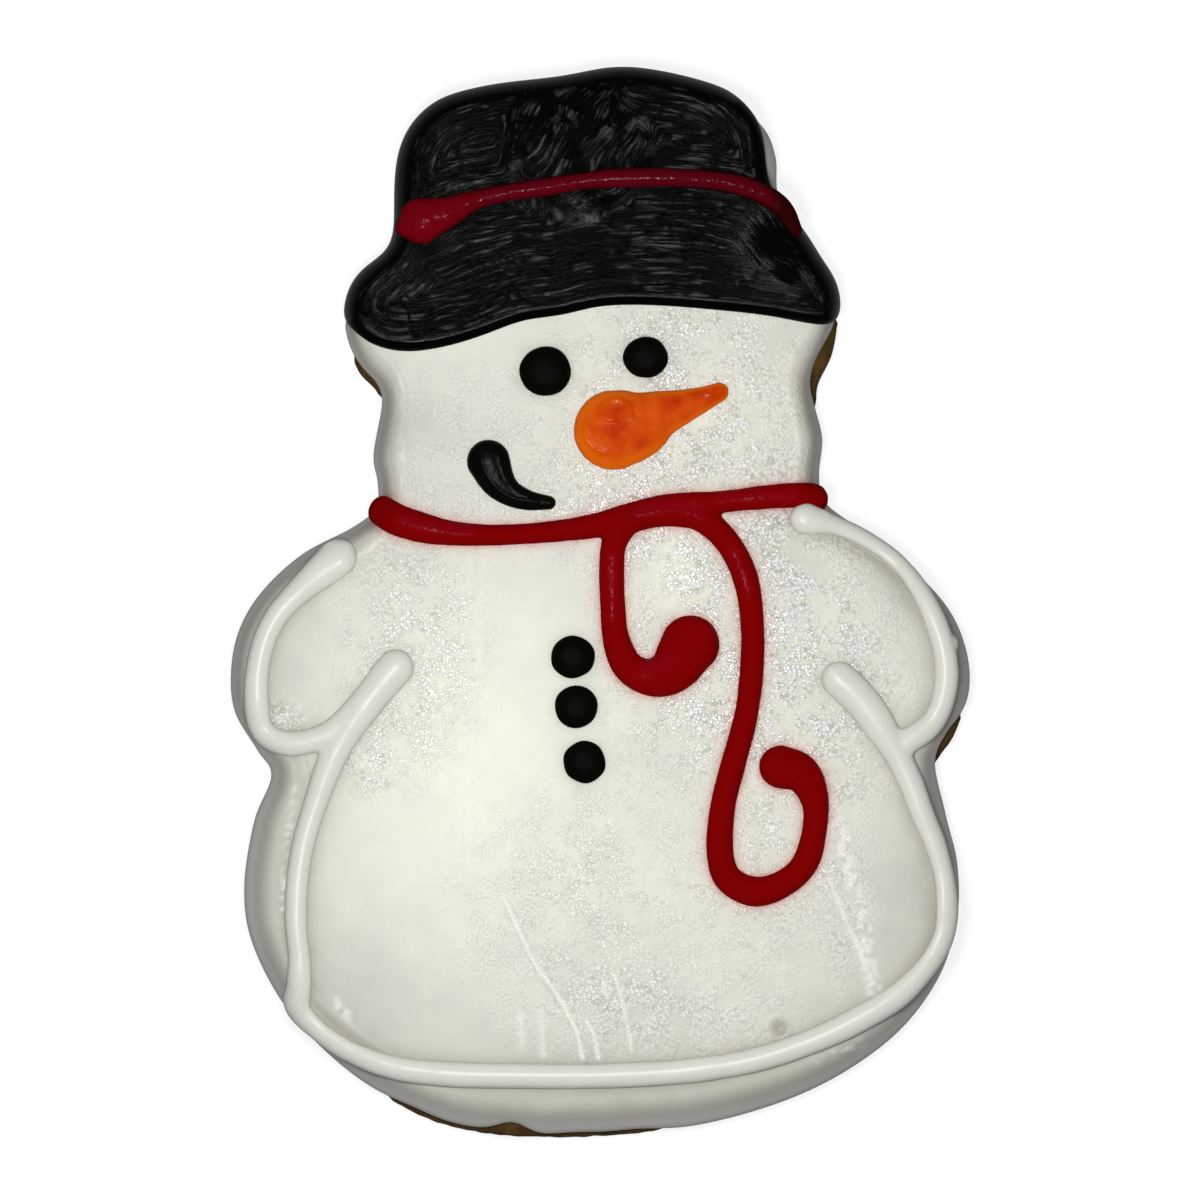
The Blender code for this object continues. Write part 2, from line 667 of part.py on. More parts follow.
def build():
    remove_startup_objects()
    cookie = new_collection("iced_sugar_cookie")
    cutters = new_collection("cutters")
    records = outline_records()
    icing_clearance = make_form("icing_clearance", cutters, records, GAP)
    hat_clearance = make_form("hat_clearance", cutters, records, HAT_THICKNESS + GAP)
    find = surface_finder(icing_clearance)
    find_on_hat = surface_finder(hat_clearance)

    dough = make_dough(cookie, records)
    icing = make_icing(cookie, records)
    hat = make_hat(cookie, cutters, records, icing_clearance)
    band = make_line("hat_band", cookie, HAT_BAND, find_on_hat)
    boolean(band, "DIFFERENCE", hat_clearance)

    scarf = make_scarf(cookie, find)
    piping = make_piping(cookie, find)
    scarf_clearance = make_line("scarf_clearance", cutters, SCARF_NECK, find, GAP)
    hide_cutter(scarf_clearance)
    boolean(piping, "DIFFERENCE", scarf_clearance)
    mouth = make_line("mouth", cookie, MOUTH, find, flatness=MOUTH_FLATNESS)
    nose = make_line("nose", cookie, NOSE, find, flatness=NOSE_FLATNESS)
    drops = [make_drop(name, cookie, find, *sizes) for name, sizes in DROPS.items()]
    on_icing = [scarf, piping, mouth, nose] + drops
    for item in on_icing:
        boolean(item, "DIFFERENCE", icing_clearance)

    for item in [hat, band] + on_icing:
        clean(item)
    for item in [dough, icing, hat, band, scarf, piping, mouth, nose]:
        shade(item, FINISH[item.name])
    for item in drops:
        shade(item, DROP_FINISH)
    centre_on_origin([dough, icing, hat, band] + on_icing)


build()
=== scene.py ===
"""Iced sugar cookie in the shape of a snowman with a top hat and a scarf.

The cookie lies on its back on a pale floor and is seen from straight above,
as in the photograph. It is made in the order in which a decorator makes it:
baked dough, poured white icing, brushed black hat, then the piped lines.
Places are in millimetres, as drawn from above, until a mesh is made.
"""
import math

import bpy
import bmesh
import numpy as np
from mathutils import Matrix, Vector, noise
from mathutils.bvhtree import BVHTree
from mathutils.geometry import delaunay_2d_cdt
from mathutils.kdtree import KDTree


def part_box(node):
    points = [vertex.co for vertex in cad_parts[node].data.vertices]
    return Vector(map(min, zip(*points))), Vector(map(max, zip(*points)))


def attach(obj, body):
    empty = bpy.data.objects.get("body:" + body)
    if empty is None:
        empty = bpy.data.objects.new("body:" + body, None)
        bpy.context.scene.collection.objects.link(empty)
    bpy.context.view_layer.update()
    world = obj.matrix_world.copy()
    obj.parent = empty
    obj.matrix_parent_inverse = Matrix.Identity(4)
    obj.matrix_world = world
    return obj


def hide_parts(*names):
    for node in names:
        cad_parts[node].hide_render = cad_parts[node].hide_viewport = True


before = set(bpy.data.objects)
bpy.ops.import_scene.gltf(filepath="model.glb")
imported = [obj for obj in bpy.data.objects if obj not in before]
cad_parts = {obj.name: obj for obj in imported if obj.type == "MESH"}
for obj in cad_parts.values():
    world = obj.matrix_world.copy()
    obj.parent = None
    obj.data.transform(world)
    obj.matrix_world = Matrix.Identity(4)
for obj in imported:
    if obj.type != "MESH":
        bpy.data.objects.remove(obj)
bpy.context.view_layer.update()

# Baked sugar dough: a slab rolled about 10 mm thick, cut with a snowman cutter
# and baked until its edge is golden brown. It shows underneath, at the foot of
# the sides and where the icing stops short of the edge.
MM = 0.001
# Where the drawing's zero point lies in the frame, from the left eye in both
EYE_DRAWN_AT = (-6.6, 27.8)
eye_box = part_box("left_eye")
DRAWN_AT = [0.5 * (eye_box[0][n] + eye_box[1][n]) / MM - EYE_DRAWN_AT[n] for n in (0, 1)]
# Outline from above, clockwise from the hat's left corner: x, y and the width
# of the rounded shoulder between the flat top and the side
CUTTER_OUTLINE = [
    (-24.7, 46.8, 2.6), (-24.7, 50.0, 2.6), (-24.4, 53.6, 2.6), (-23.6, 56.2, 2.6),
    (-22.2, 58.4, 2.6), (-19.2, 60.8, 2.6), (-13.2, 62.4, 2.6), (-4.9, 63.4, 2.6),
    (2.7, 64.6, 2.6), (10.9, 63.3, 2.6), (17.0, 61.0, 2.6), (20.1, 57.7, 2.6),
    (21.3, 54.0, 2.6), (21.8, 50.2, 2.6), (23.2, 46.7, 2.4), (25.3, 43.8, 2.4),
    (26.6, 41.5, 2.4), (28.4, 38.9, 2.4), (29.0, 35.9, 2.4), (28.7, 32.6, 2.6),
    (28.0, 29.5, 2.8), (26.4, 26.1, 3.0), (26.4, 23.2, 3.0), (27.0, 19.5, 3.0),
    (26.6, 15.2, 3.0), (27.4, 11.9, 3.0), (31.8, 8.6, 2.6), (37.0, 4.7, 2.6), (42.0, -0.5, 2.8),
    (44.4, -5.7, 3.2), (44.8, -11.0, 3.4), (43.0, -16.3, 3.4), (40.9, -20.0, 3.6),
    (42.0, -26.0, 3.6), (43.4, -32.0, 3.4), (43.3, -38.9, 3.2), (40.8, -46.3, 4.0),
    (35.1, -53.3, 4.8), (25.7, -59.3, 5.6), (13.9, -63.2, 6.4), (1.2, -64.9, 6.4),
    (-11.2, -64.9, 6.4), (-20.6, -63.0, 6.0), (-29.7, -57.7, 4.8), (-37.4, -50.3, 4.2),
    (-42.0, -42.1, 5.4), (-43.2, -35.1, 5.8), (-42.0, -26.8, 5.4), (-39.9, -21.2, 4.6),
    (-41.6, -18.1, 4.0), (-44.3, -13.5, 3.4), (-44.8, -8.6, 3.4), (-43.8, -3.5, 3.4),
    (-41.0, 1.2, 3.4), (-36.1, 5.7, 3.4), (-30.1, 8.9, 3.2), (-27.2, 11.3, 3.0),
    (-27.0, 14.4, 3.0), (-27.5, 17.7, 3.0), (-26.7, 24.4, 3.0), (-29.4, 28.0, 3.0),
    (-30.9, 32.9, 2.6), (-30.7, 36.4, 2.4), (-29.8, 38.8, 2.4), (-28.2, 40.5, 2.4),
    (-26.0, 42.0, 2.4), (-24.9, 43.9, 2.4),
]
OUTLINE_STEP = 0.6
NORMALS_SPREAD = 1.5
# Where the dough shows: x, y, reach along the edge, how far the icing is drawn
# in there, and how far its rim rises
BARE_SPOTS = [
    (27.6, 29.0, 4.2, 1.6, 4.0), (-28.6, 27.0, 3.0, 0.8, 2.5), (42.6, -16.8, 3.0, 1.0, 2.5),
    (-10.7, -64.6, 2.6, 1.5, 3.5), (-22.5, -62.2, 4.5, 0.6, 0.8), (-15.5, -64.2, 4.5, 0.5, 0.8),
    (-3.0, -64.9, 5.0, 0.6, 0.6), (4.5, -64.6, 4.0, 0.5, 0.4),
]
# How much sooner than the icing is drawn in the dough reaches the full outline
BARE_FULLNESS = 2.5
ICING_RIM = 2.0
ICING_TOP = 10.9
ICING_THICKNESS = 1.4
DOUGH_CROWN = 0.15
CROWN_REACH = 6.0
# The hat's icing hangs over the edge from here up, but for a sliver at its right
HAT_OVERHANG = 1.0
HAT_START, HAT_FULL = 33.0, 37.0
WHITE_SLIVER = (21.6, 54.0, 6.0)
# Side of the icing: part of the shoulder's width, part of the rise to the top
SIDE_PROFILE = [(0.05, 0.0), (0.0, 0.18), (0.07, 0.43), (0.26, 0.69), (0.52, 0.885),
                (0.76, 0.972), (0.9, 0.995), (1.0, 1.0)]
PROFILE_STEP = 0.045
# Foot of the dough: part of the rim's height, and inset in millimetres
FOOT_PROFILE = [(0.0, 1.1), (0.02, 0.55), (0.12, 0.2), (0.35, 0.03), (0.65, 0.0),
                (0.88, 0.1), (1.0, 0.35)]
FOOT_INSET = 0.9
CRUMB = 0.09
DOUGH_GRID = 1.6


def smooth_path(points, step, closed=False):
    """Points at even steps along the smooth curve through the given ones."""
    knots = np.array(points, float)
    if closed:
        knots = np.vstack([knots[-1:], knots, knots[:2]])
    else:
        knots = np.vstack([2 * knots[0] - knots[1], knots, 2 * knots[-1] - knots[-2]])
    t = np.arange(0.0, 1.0, 1 / 24)[None, :, None]
    before, start, end, after = (knots[i:len(knots) - 3 + i, None, :] for i in range(4))
    fine = 0.5 * (2 * start + (end - before) * t
                  + (2 * before - 5 * start + 4 * end - after) * t ** 2
                  + (3 * start - before - 3 * end + after) * t ** 3)
    fine = np.vstack([fine.reshape(-1, knots.shape[1]), knots[-2]])
    run = np.concatenate([[0.0], np.cumsum(np.hypot(*np.diff(fine[:, :2], axis=0).T))])
    count = max(2, round(run[-1] / step))
    targets = run[-1] * np.arange(count + (0 if closed else 1)) / count
    return np.column_stack([np.interp(targets, run, column) for column in fine.T])


def spread_round(values, spread):
    """Values round a closed loop, each evened out with its neighbours."""
    reach = int(3 * spread) + 1
    weights = np.exp(-0.5 * (np.arange(-reach, reach + 1) / spread) ** 2)
    return sum(w * np.roll(values, k, axis=0)
               for w, k in zip(weights / weights.sum(), range(-reach, reach + 1)))


def outward(loop, spread):
    """Outward directions round a clockwise loop."""
    along = np.roll(loop[:, :2], -1, axis=0) - np.roll(loop[:, :2], 1, axis=0)
    normal = spread_round(np.column_stack([-along[:, 1], along[:, 0]]), spread)
    return normal / np.linalg.norm(normal, axis=1)[:, None]


def ramp(low, high, value):
    """Smooth step from 0 at low to 1 at high."""
    t = np.clip((value - low) / (high - low), 0.0, 1.0)
    return t * t * (3.0 - 2.0 * t)


def bell(points, x, y, reach):
    """1 at x, y, falling smoothly to nearly 0 at twice the reach."""
    return np.exp(-((points[:, 0] - x) ** 2 + (points[:, 1] - y) ** 2) / reach ** 2)


def rough(points, size, seed=0.0):
    """Smooth random height at each point, from about -1 to 1."""
    return np.array([noise.noise(Vector((p[0] / size + seed, p[1] / size, p[2] / size + seed)))
                     for p in points])


def corner_tree(loop):
    """Corners of a loop or path, seen from above and sorted for finding the nearest."""
    tree = KDTree(len(loop))
    for n, corner in enumerate(loop):
        tree.insert((corner[0], corner[1], 0.0), n)
    tree.balance()
    return tree


def gap_to(points, loop):
    """Distance of each point from the nearest corner of a loop."""
    tree = corner_tree(loop)
    return np.array([tree.find((p[0], p[1], 0.0))[2] for p in points])


def inside(points, loop):
    """Whether each point is inside the loop."""
    hit = np.zeros(len(points), bool)
    for (ax, ay), (bx, by) in zip(loop, np.roll(loop, -1, axis=0)):
        crossed = (ay > points[:, 1]) != (by > points[:, 1])
        if crossed.any():
            hit ^= crossed & (points[:, 0] < ax + (points[:, 1] - ay) / (by - ay) * (bx - ax))
    return hit


def fill(loop, step):
    """Evenly spread points inside a loop, and triangles over loop and points."""
    low, high = loop.min(axis=0), loop.max(axis=0)
    rows = []
    for n, y in enumerate(np.arange(low[1], high[1], step * math.sqrt(0.75))):
        xs = np.arange(low[0] + (n % 2) * step / 2, high[0], step)
        rows.append(np.column_stack([xs, np.full(len(xs), y)]))
    spots = np.vstack(rows)
    spots = spots[inside(spots, loop)]
    near = gap_to(spots, loop)
    spots, near = spots[near > 0.6 * step], near[near > 0.6 * step]
    count = len(loop)
    ring = [(n, (n + 1) % count) for n in range(count)]
    found = delaunay_2d_cdt([Vector(p) for p in np.vstack([loop, spots])], ring,
                            [list(range(count))], 1, 1e-6)
    return spots, near, [[found[3][corner][0] for corner in face] for face in found[2]]


def ring_faces(rings, around):
    """Faces between rings of points that follow each other, with around points each."""
    return [(ring * around + n, ring * around + (n + 1) % around,
             (ring + 1) * around + (n + 1) % around, (ring + 1) * around + n)
            for ring in range(rings - 1) for n in range(around)]


def block(rings, top_step, top_bulge, base_step, relief=None):
    """Closed surface through rings of points, lowest first, filled at both ends.

    The first and the last ring lie level.
    """
    rings = np.array(rings)
    levels, count = rings.shape[:2]
    places = [rings.reshape(-1, 3)]
    faces = ring_faces(levels, count)
    total = levels * count
    for level, step, bulge in ((levels - 1, top_step, top_bulge), (0, base_step, 0.0)):
        spots, near, triangles = fill(rings[level][:, :2], step)
        height = rings[level][:, 2].mean() + bulge * (1.0 - np.exp(-near / CROWN_REACH))
        if relief and level:
            height = height + relief(spots)
        places.append(np.column_stack([spots, height]))
        start = level * count
        for face in triangles:
            faces.append([start + c if c < count else total + c - count for c in face])
        total += len(spots)
    return np.vstack(places), faces


def closed_mesh(name, places, faces):
    """Mesh of places and faces, with every face turned outwards."""
    data = bpy.data.meshes.new(name)
    data.from_pydata(places.tolist(), [], [list(map(int, face)) for face in faces])
    mesh = bmesh.new()
    mesh.from_mesh(data)
    bmesh.ops.recalc_face_normals(mesh, faces=mesh.faces)
    mesh.to_mesh(data)
    mesh.free()
    return data


def show(name, data):
    """Puts an object of this data into the scene."""
    item = bpy.data.objects.new(name, data)
    bpy.context.scene.collection.objects.link(item)
    return item


def add_piece(name, places, faces, node_names, material):
    """Makes a mesh object of places in millimetres that stands for CAD nodes."""
    data = closed_mesh(name, (places + np.array([*DRAWN_AT, 0.0])) * MM, faces)
    data.shade_smooth()
    data.materials.append(material)
    piece = show(name, data)
    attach(piece, "root")
    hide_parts(*node_names)
    return piece


def mark(piece, name, values):
    """Keeps one number for each point of a piece, for its material."""
    layer = piece.data.attributes.new(name, "FLOAT", "POINT")
    layer.data.foreach_set("value", np.asarray(values, np.float32))


def linear(colour):
    """Linear colour from an sRGB hex value."""
    parts = [int(colour[n:n + 2], 16) / 255 for n in (1, 3, 5)]
    return (*[p / 12.92 if p <= 0.04045 else ((p + 0.055) / 1.055) ** 2.4 for p in parts], 1.0)


def node(tree, kind, inputs=None, out=0, **settings):
    """Adds a node with its settings and links, and gives one of its outputs."""
    made = tree.nodes.new("ShaderNode" + kind)
    for name, value in settings.items():
        setattr(made, name, value)
    for socket, value in (inputs or {}).items():
        if isinstance(value, bpy.types.NodeSocket):
            tree.links.new(value, made.inputs[socket])
        else:
            made.inputs[socket].default_value = value
    return made.outputs[out]


def start_finish(name, **shader_values):
    """New material: its node tree, its shader and places in millimetres."""
    material = bpy.data.materials.new(name)
    material.use_nodes = True
    tree = material.node_tree
    shader = tree.nodes["Principled BSDF"]
    for socket, value in shader_values.items():
        shader.inputs[socket.replace("_", " ")].default_value = value
    place = node(tree, "TexCoord", out="Object")
    in_mm = node(tree, "VectorMath", {0: place, "Scale": 1.0 / MM}, operation="SCALE")
    return material, tree, shader, in_mm


def feed(tree, shader, **outputs):
    """Leads each output into the shader's socket of that name."""
    for socket, output in outputs.items():
        tree.links.new(output, shader.inputs[socket.replace("_", " ")])


outline = smooth_path(CUTTER_OUTLINE, OUTLINE_STEP, closed=True)
edge, shoulder = outline[:, :2], outline[:, 2]
edge_normal = outward(outline, NORMALS_SPREAD / OUTLINE_STEP)
drawn_in = sum(spot[3] * bell(edge, *spot[:3]) for spot in BARE_SPOTS)
lifted = sum(spot[4] * bell(edge, *spot[:3]) for spot in BARE_SPOTS)
under_hat = (HAT_OVERHANG * ramp(HAT_START, HAT_FULL, edge[:, 1])
             * (1.0 - bell(edge, *WHITE_SLIVER)))
icing_inset = drawn_in + under_hat
icing_rim = ICING_RIM + lifted
profile = smooth_path(SIDE_PROFILE, PROFILE_STEP)


def side_rings(loop, normal, inset, width, rim, top, grow=0.0):
    """Rings up a rounded side, lowest first, moved outwards by grow; the last is level."""
    rings = []
    turn = np.gradient(profile, axis=0)
    for (part, share), (over, up) in zip(profile, turn):
        rise = np.broadcast_to(top - rim, len(loop))
        slope = np.column_stack([over * width, up * rise])
        slope /= np.linalg.norm(slope, axis=1)[:, None]
        inward = inset + (part * width - grow * slope[:, 1])
        rings.append(np.column_stack([loop - normal * inward[:, None],
                                      rim + share * rise + grow * slope[:, 0]]))
    rings[-1][:, 2] = np.mean(top) + grow
    return rings


def sugar_dough():
    # Baked sugar dough, cut and oven-browned: a matt, dry crumb, pale gold on the
    # sides and toasted brown at the lower edge, with pores of about half a millimetre
    material, tree, shader, in_mm = start_finish("baked_sugar_dough", Roughness=0.82, IOR=1.4)
    patches = node(tree, "TexNoise", {"Vector": in_mm, "Scale": 0.22, "Detail": 4.0})
    crumb = node(tree, "TexNoise", {"Vector": in_mm, "Scale": 2.2, "Detail": 5.0,
                                    "Roughness": 0.65})
    pores = node(tree, "TexVoronoi", {"Vector": in_mm, "Scale": 0.9})
    toasted = node(tree, "Attribute", attribute_name="toasted", out="Fac")
    dark = node(tree, "MapRange", {"Value": crumb, "From Min": 0.38, "From Max": 0.62,
                                   "To Max": 0.45})
    crust = linear("#98721F")
    for factor, colour in ((patches, "#755210"), (dark, "#4A300C"), (toasted, "#2E1C07")):
        crust = node(tree, "Mix", {"Factor": factor, 6: crust, 7: linear(colour)},
                     data_type="RGBA", out=2)
    holes = node(tree, "MapRange", {"Value": pores, "From Min": 0.05, "From Max": 0.3})
    height = node(tree, "Math", {0: crumb, 1: holes}, operation="ADD")
    bump = node(tree, "Bump", {"Height": height, "Distance": 0.25 * MM, "Strength": 0.8})
    feed(tree, shader, Base_Color=crust, Normal=bump)
    return material


bare = np.clip(BARE_FULLNESS * drawn_in, 0.0, 1.0)
foot = []
for share, extra in FOOT_PROFILE:
    flat = edge - edge_normal * ((FOOT_INSET + under_hat) * (1.0 - bare) + extra)[:, None]
    foot.append(np.column_stack([flat, share * (icing_rim - 0.1)]))
body = side_rings(edge, edge_normal, icing_inset, shoulder, icing_rim, ICING_TOP,
                  -ICING_THICKNESS)
ledge = [np.column_stack([body[0][:, :2], icing_rim])]
dough_places, dough_faces = block(foot + ledge + body[3::3], DOUGH_GRID, DOUGH_CROWN, DOUGH_GRID)
# The crumb makes every surface but the flat underside uneven
uneven = rough(dough_places, 1.3, 5.0) * CRUMB * ramp(0.0, 0.5, dough_places[:, 2])
dough_places[:, :2] *= 1.0 + uneven[:, None] / 45.0
dough_places[:, 2] += 0.6 * uneven
dough = add_piece("baked_dough", dough_places, dough_faces, ["dough"],
                  sugar_dough())
rim_gap = gap_to(dough_places, edge)
mark(dough, "toasted", ramp(4.5, 0.3, rim_gap + rough(dough_places, 4.0) * 0.8)
     * (0.75 + 0.25 * rough(dough_places, 2.5, 9.0)))

# White icing: glaze icing poured over the whole cookie, so that it runs down
# the sides and sets with a wide round shoulder. Sugar grains, drying ripples, a
# burst bubble and a few drag marks show in its top.
ICING_CROWN = 0.7
ICING_GRID = 0.38
# Drag marks and drips in the top: points, half width and height
DRAG_MARKS = [
    ([(-11.5, -36.3), (-8.0, -43.6), (-4.9, -48.2), (-3.0, -51.8), (-2.1, -55.4)], 0.26, 0.14),
    ([(-1.6, -51.0), (-0.6, -53.0), (-0.2, -55.4)], 0.26, 0.12),
    ([(0.4, -46.5), (0.9, -48.0)], 0.26, 0.10),
    ([(1.8, -45.4), (2.6, -48.0), (3.0, -49.6), (3.9, -54.5)], 0.28, 0.12),
    ([(-9.6, -50.5), (-9.4, -54.5)], 0.5, 0.06),
    ([(-7.2, -49.8), (-6.9, -55.0)], 0.5, 0.06),
    ([(-14.0, 12.0), (-14.5, -2.0), (-15.6, -18.0), (-15.9, -32.6)], 0.4, 0.025),
    ([(-15.6, 10.0), (-16.2, -4.0), (-17.0, -20.0), (-17.3, -30.0)], 0.4, 0.02),
    ([(27.9, -33.8), (30.4, -40.0), (33.0, -46.0)], 0.35, 0.10),
    ([(20.0, -8.6), (20.5, -8.0)], 0.4, 0.12),
]
BUBBLE_PIT = (21.7, -51.7, 0.85, 0.30)
# Sugar grains that catch the light: x, y, reach across and along, strength
GRAINY = [
    (10.0, 24.0, 13.0, 16.0, 1.0), (17.0, -4.0, 15.0, 18.0, 1.0), (26.0, -12.0, 10.0, 14.0, 0.8),
    (-22.5, -5.5, 8.0, 15.0, 0.7), (-3.0, -36.0, 14.0, 14.0, 0.4), (30.0, -36.0, 3.0, 10.0, 0.45),
    (-28.5, -19.5, 3.5, 3.5, 1.0), (-38.5, -14.3, 2.4, 2.0, 1.0), (20.0, -34.0, 9.0, 9.0, 0.5),
    (6.0, 10.0, 20.0, 5.0, 0.5), (-12.0, 20.0, 12.0, 10.0, 0.2), (8.0, -50.0, 14.0, 6.0, 0.5),
]
# Lines of dried specks along creases, painted whiter there as painted highlight: points, half
# width, strength
SPECKS = [
    ([(-36.6, -19.3), (-38.2, -31.4), (-38.6, -38.7)], 0.45, 0.8),
    ([(-39.2, -13.4), (-38.4, -15.0)], 0.6, 0.8), ([(-32.0, -48.6), (-30.4, -50.6)], 0.6, 0.8),
    ([(-29.1, -18.7), (-27.8, -20.0)], 0.8, 0.9), ([(-24.2, 27.5), (-24.0, 15.0)], 0.35, 0.5),
    ([(26.2, -55.6), (31.5, -53.7)], 0.6, 0.7),
    ([(28.2, -25.0), (30.0, -32.0), (32.0, -40.0), (33.2, -47.5)], 0.9, 1.0),
]
SCARF_STAIN = 0.6
# Where the white is lighter and creamier, or below zero darker and greyer: x, y, reach and
# strength
TONES = [
    (-18.0, -26.0, 15.0, 0.45), (-9.0, -12.0, 12.0, 0.25), (10.4, 4.7, 5.5, 0.55),
    (-18.0, -8.0, 10.0, 0.2), (10.0, -36.0, 14.0, 0.15), (28.0, -4.0, 8.0, 0.25),
    (13.0, 20.0, 9.0, 0.25), (15.5, 25.0, 6.0, 0.2), (-23.0, 20.0, 7.0, -0.3),
    (-12.0, 14.0, 9.0, -0.1), (26.0, -18.0, 9.0, 0.2), (36.0, -38.0, 8.0, -0.3),
    (-30.0, -48.0, 9.0, -0.35), (-38.0, -9.0, 5.0, -0.2), (0.0, -54.0, 12.0, -0.15),
    (-3.0, 30.0, 7.0, 0.1), (37.0, 0.0, 4.0, -0.25),
]


def lines_over(points, lines):
    """Height that thin raised lines add at each point."""
    height = np.zeros(len(points))
    for path, half_width, rise in lines:
        away = gap_to(points, smooth_path(path, 0.15))
        height += rise * np.exp(-(away / half_width) ** 2)
    return height


def icing_relief(points):
    """Height of the waves, marks and the burst bubble in the icing's top."""
    flat = np.column_stack([points, np.zeros(len(points))])
    height = 0.10 * rough(flat, 14.0, 2.0) + 0.045 * rough(flat, 4.5, 7.0)
    height += 0.012 * rough(flat, 1.2, 3.0)
    height += lines_over(points, DRAG_MARKS)
    x, y, reach, depth = BUBBLE_PIT
    away = np.hypot(points[:, 0] - x, points[:, 1] - y)
    return height - depth * np.exp(-(away / reach) ** 4) + 0.08 * np.exp(
        -((away - 1.5 * reach) / 0.3) ** 2)


def glaze_icing(name, grain_depth, thin, thick, side, shine=0.3, gloss=0.4):
    # Sugar glaze icing, poured and air-dried: a satin skin with a soft glow from
    # light that enters it, lighter and creamier in places, and a crust of sugar grains
    # and pits, about 0.4 mm apart, where it dried rough, with painted highlight on the
    # grains and painted shade in the grey between them
    material, tree, shader, in_mm = start_finish(name, IOR=1.47, Specular_IOR_Level=shine,
                                                 Subsurface_Weight=0.3,
                                                 Subsurface_Scale=0.8 * MM,
                                                 Subsurface_Radius=(1.0, 0.9, 0.7))
    tone, grainy, low, foot, painted_shade, ridge, stain = (
        node(tree, "Attribute", attribute_name=kept, out="Fac")
        for kept in ("tone", "grainy", "low", "foot", "painted_shade", "ridge", "stain"))
    clouds = node(tree, "TexNoise", {"Vector": in_mm, "Scale": 0.22, "Detail": 3.0})
    clouds = node(tree, "MapRange", {"Value": clouds, "From Min": 0.3, "From Max": 0.7,
                                     "To Min": -0.12, "To Max": 0.12})
    cloudy = node(tree, "Math", {0: clouds, 1: tone}, operation="ADD", use_clamp=True)
    patches = node(tree, "TexNoise", {"Vector": in_mm, "Scale": 0.4, "Detail": 3.0})
    some = node(tree, "MapRange", {"Value": patches, "From Min": 0.36, "From Max": 0.56})
    grainy = node(tree, "Math", {0: grainy, 1: some}, operation="MULTIPLY")
    grains = node(tree, "TexVoronoi", {"Vector": in_mm, "Scale": 2.5})
    picked = node(tree, "SeparateColor", {0: grains.node.outputs["Color"]})
    core = node(tree, "MapRange", {"Value": grains, "From Min": 0.7, "From Max": 0.35})
    picked = node(tree, "MapRange", {"Value": picked, "From Min": 0.1, "From Max": 0.5})
    bright = node(tree, "Math", {0: core, 1: picked}, operation="MULTIPLY")
    white = node(tree, "MapRange", {"Value": bright, "From Min": 0.05, "From Max": 0.4})
    grey = node(tree, "MapRange", {"Value": bright, "From Min": 0.2, "From Max": 0.0,
                                   "To Max": 0.22})
    broken = node(tree, "MapRange", {"Value": some, "To Min": 0.5})
    # White grains are painted highlight and grey ones painted shade between the grains; sparkle
    # is painted highlight along ridges
    white, grey, sparkle = (
        node(tree, "Math", {0: first, 1: second}, operation="MULTIPLY")
        for first, second in ((white, grainy), (grey, grainy), (ridge, broken)))
    skin = linear(thin)
    # Mixed in turn over the tone: painted highlight and shade of the grains, painted shade on the
    # steep sides (low), painted light at their foot (foot), painted shade beside lines and drops,
    # painted highlight along ridges (sparkle), and the real pink stain
    for factor, colour in ((cloudy, thick), (grey, "#A5A28E"), (white, "#FEFEFA"), (low, side),
                           (foot, "#F2F0EA"), (painted_shade, "#85806A"), (sparkle, "#FFFFFA"),
                           (stain, "#C9504A")):
        skin = node(tree, "Mix", {"Factor": factor, 6: skin, 7: linear(colour)},
                    data_type="RGBA", out=2)
    rise = node(tree, "Math", {0: core, 1: grainy}, operation="MULTIPLY")
    bump = node(tree, "Bump", {"Height": rise, "Distance": grain_depth * MM, "Strength": 1.0})
    satin = node(tree, "MapRange", {"Value": grainy, "To Min": gloss, "To Max": 0.28})
    feed(tree, shader, Base_Color=skin, Roughness=satin, Normal=bump)
    return material


icing_rings = side_rings(edge, edge_normal, icing_inset, shoulder, icing_rim, ICING_TOP)
# A thick rounded lip where the icing stopped running
inner = side_rings(edge, edge_normal, icing_inset, shoulder, icing_rim, ICING_TOP,
                   -ICING_THICKNESS)
lip = 0.5 * (icing_rings[0] + inner[0]) - np.array([0.0, 0.0, 0.25])
shell = inner[::-5] + [inner[0], lip] + icing_rings
icing_places, icing_faces = block(shell, ICING_GRID, ICING_CROWN, 5.0, icing_relief)
# Its last colour, the side colour, is painted shade for the steep shoulder and side
white_icing = add_piece("poured_white_icing", icing_places, icing_faces, ["white_icing"],
                        glaze_icing("poured_glaze_icing", 0.14, "#CACAC1", "#EDEEDC", "#B4B1A9"))

icing_tree = BVHTree.FromPolygons([Vector(p) for p in icing_places], icing_faces)
STEEPEST_UNDER_LINE = 0.35


def find_on(tree):
    """Function that gives the place and upward direction of a surface at x, y."""
    def find(x, y):
        place, normal, _, _ = tree.ray_cast(Vector((x, y, 100.0)), Vector((0.0, 0.0, -1.0)))
        if place is None or abs(normal.z) < STEEPEST_UNDER_LINE:
            place, normal, _, _ = tree.find_nearest(Vector((x, y, 9.0)))
        return place, normal if normal.z > 0 else -normal
    return find


on_icing = find_on(icing_tree)

# Black icing of the top hat: brushed on over the dried white, so the brush has
# left curved ridges and streaks in it, with a smooth round border where it ran
# to the edge. It hangs over the side of the cookie.
HAT_THICKNESS = 1.3
HAT_RIM = 3.4
# How far it hangs out past the cookie's own outline
HAT_OVERLAP = 0.3
HAT_GRID = 0.30
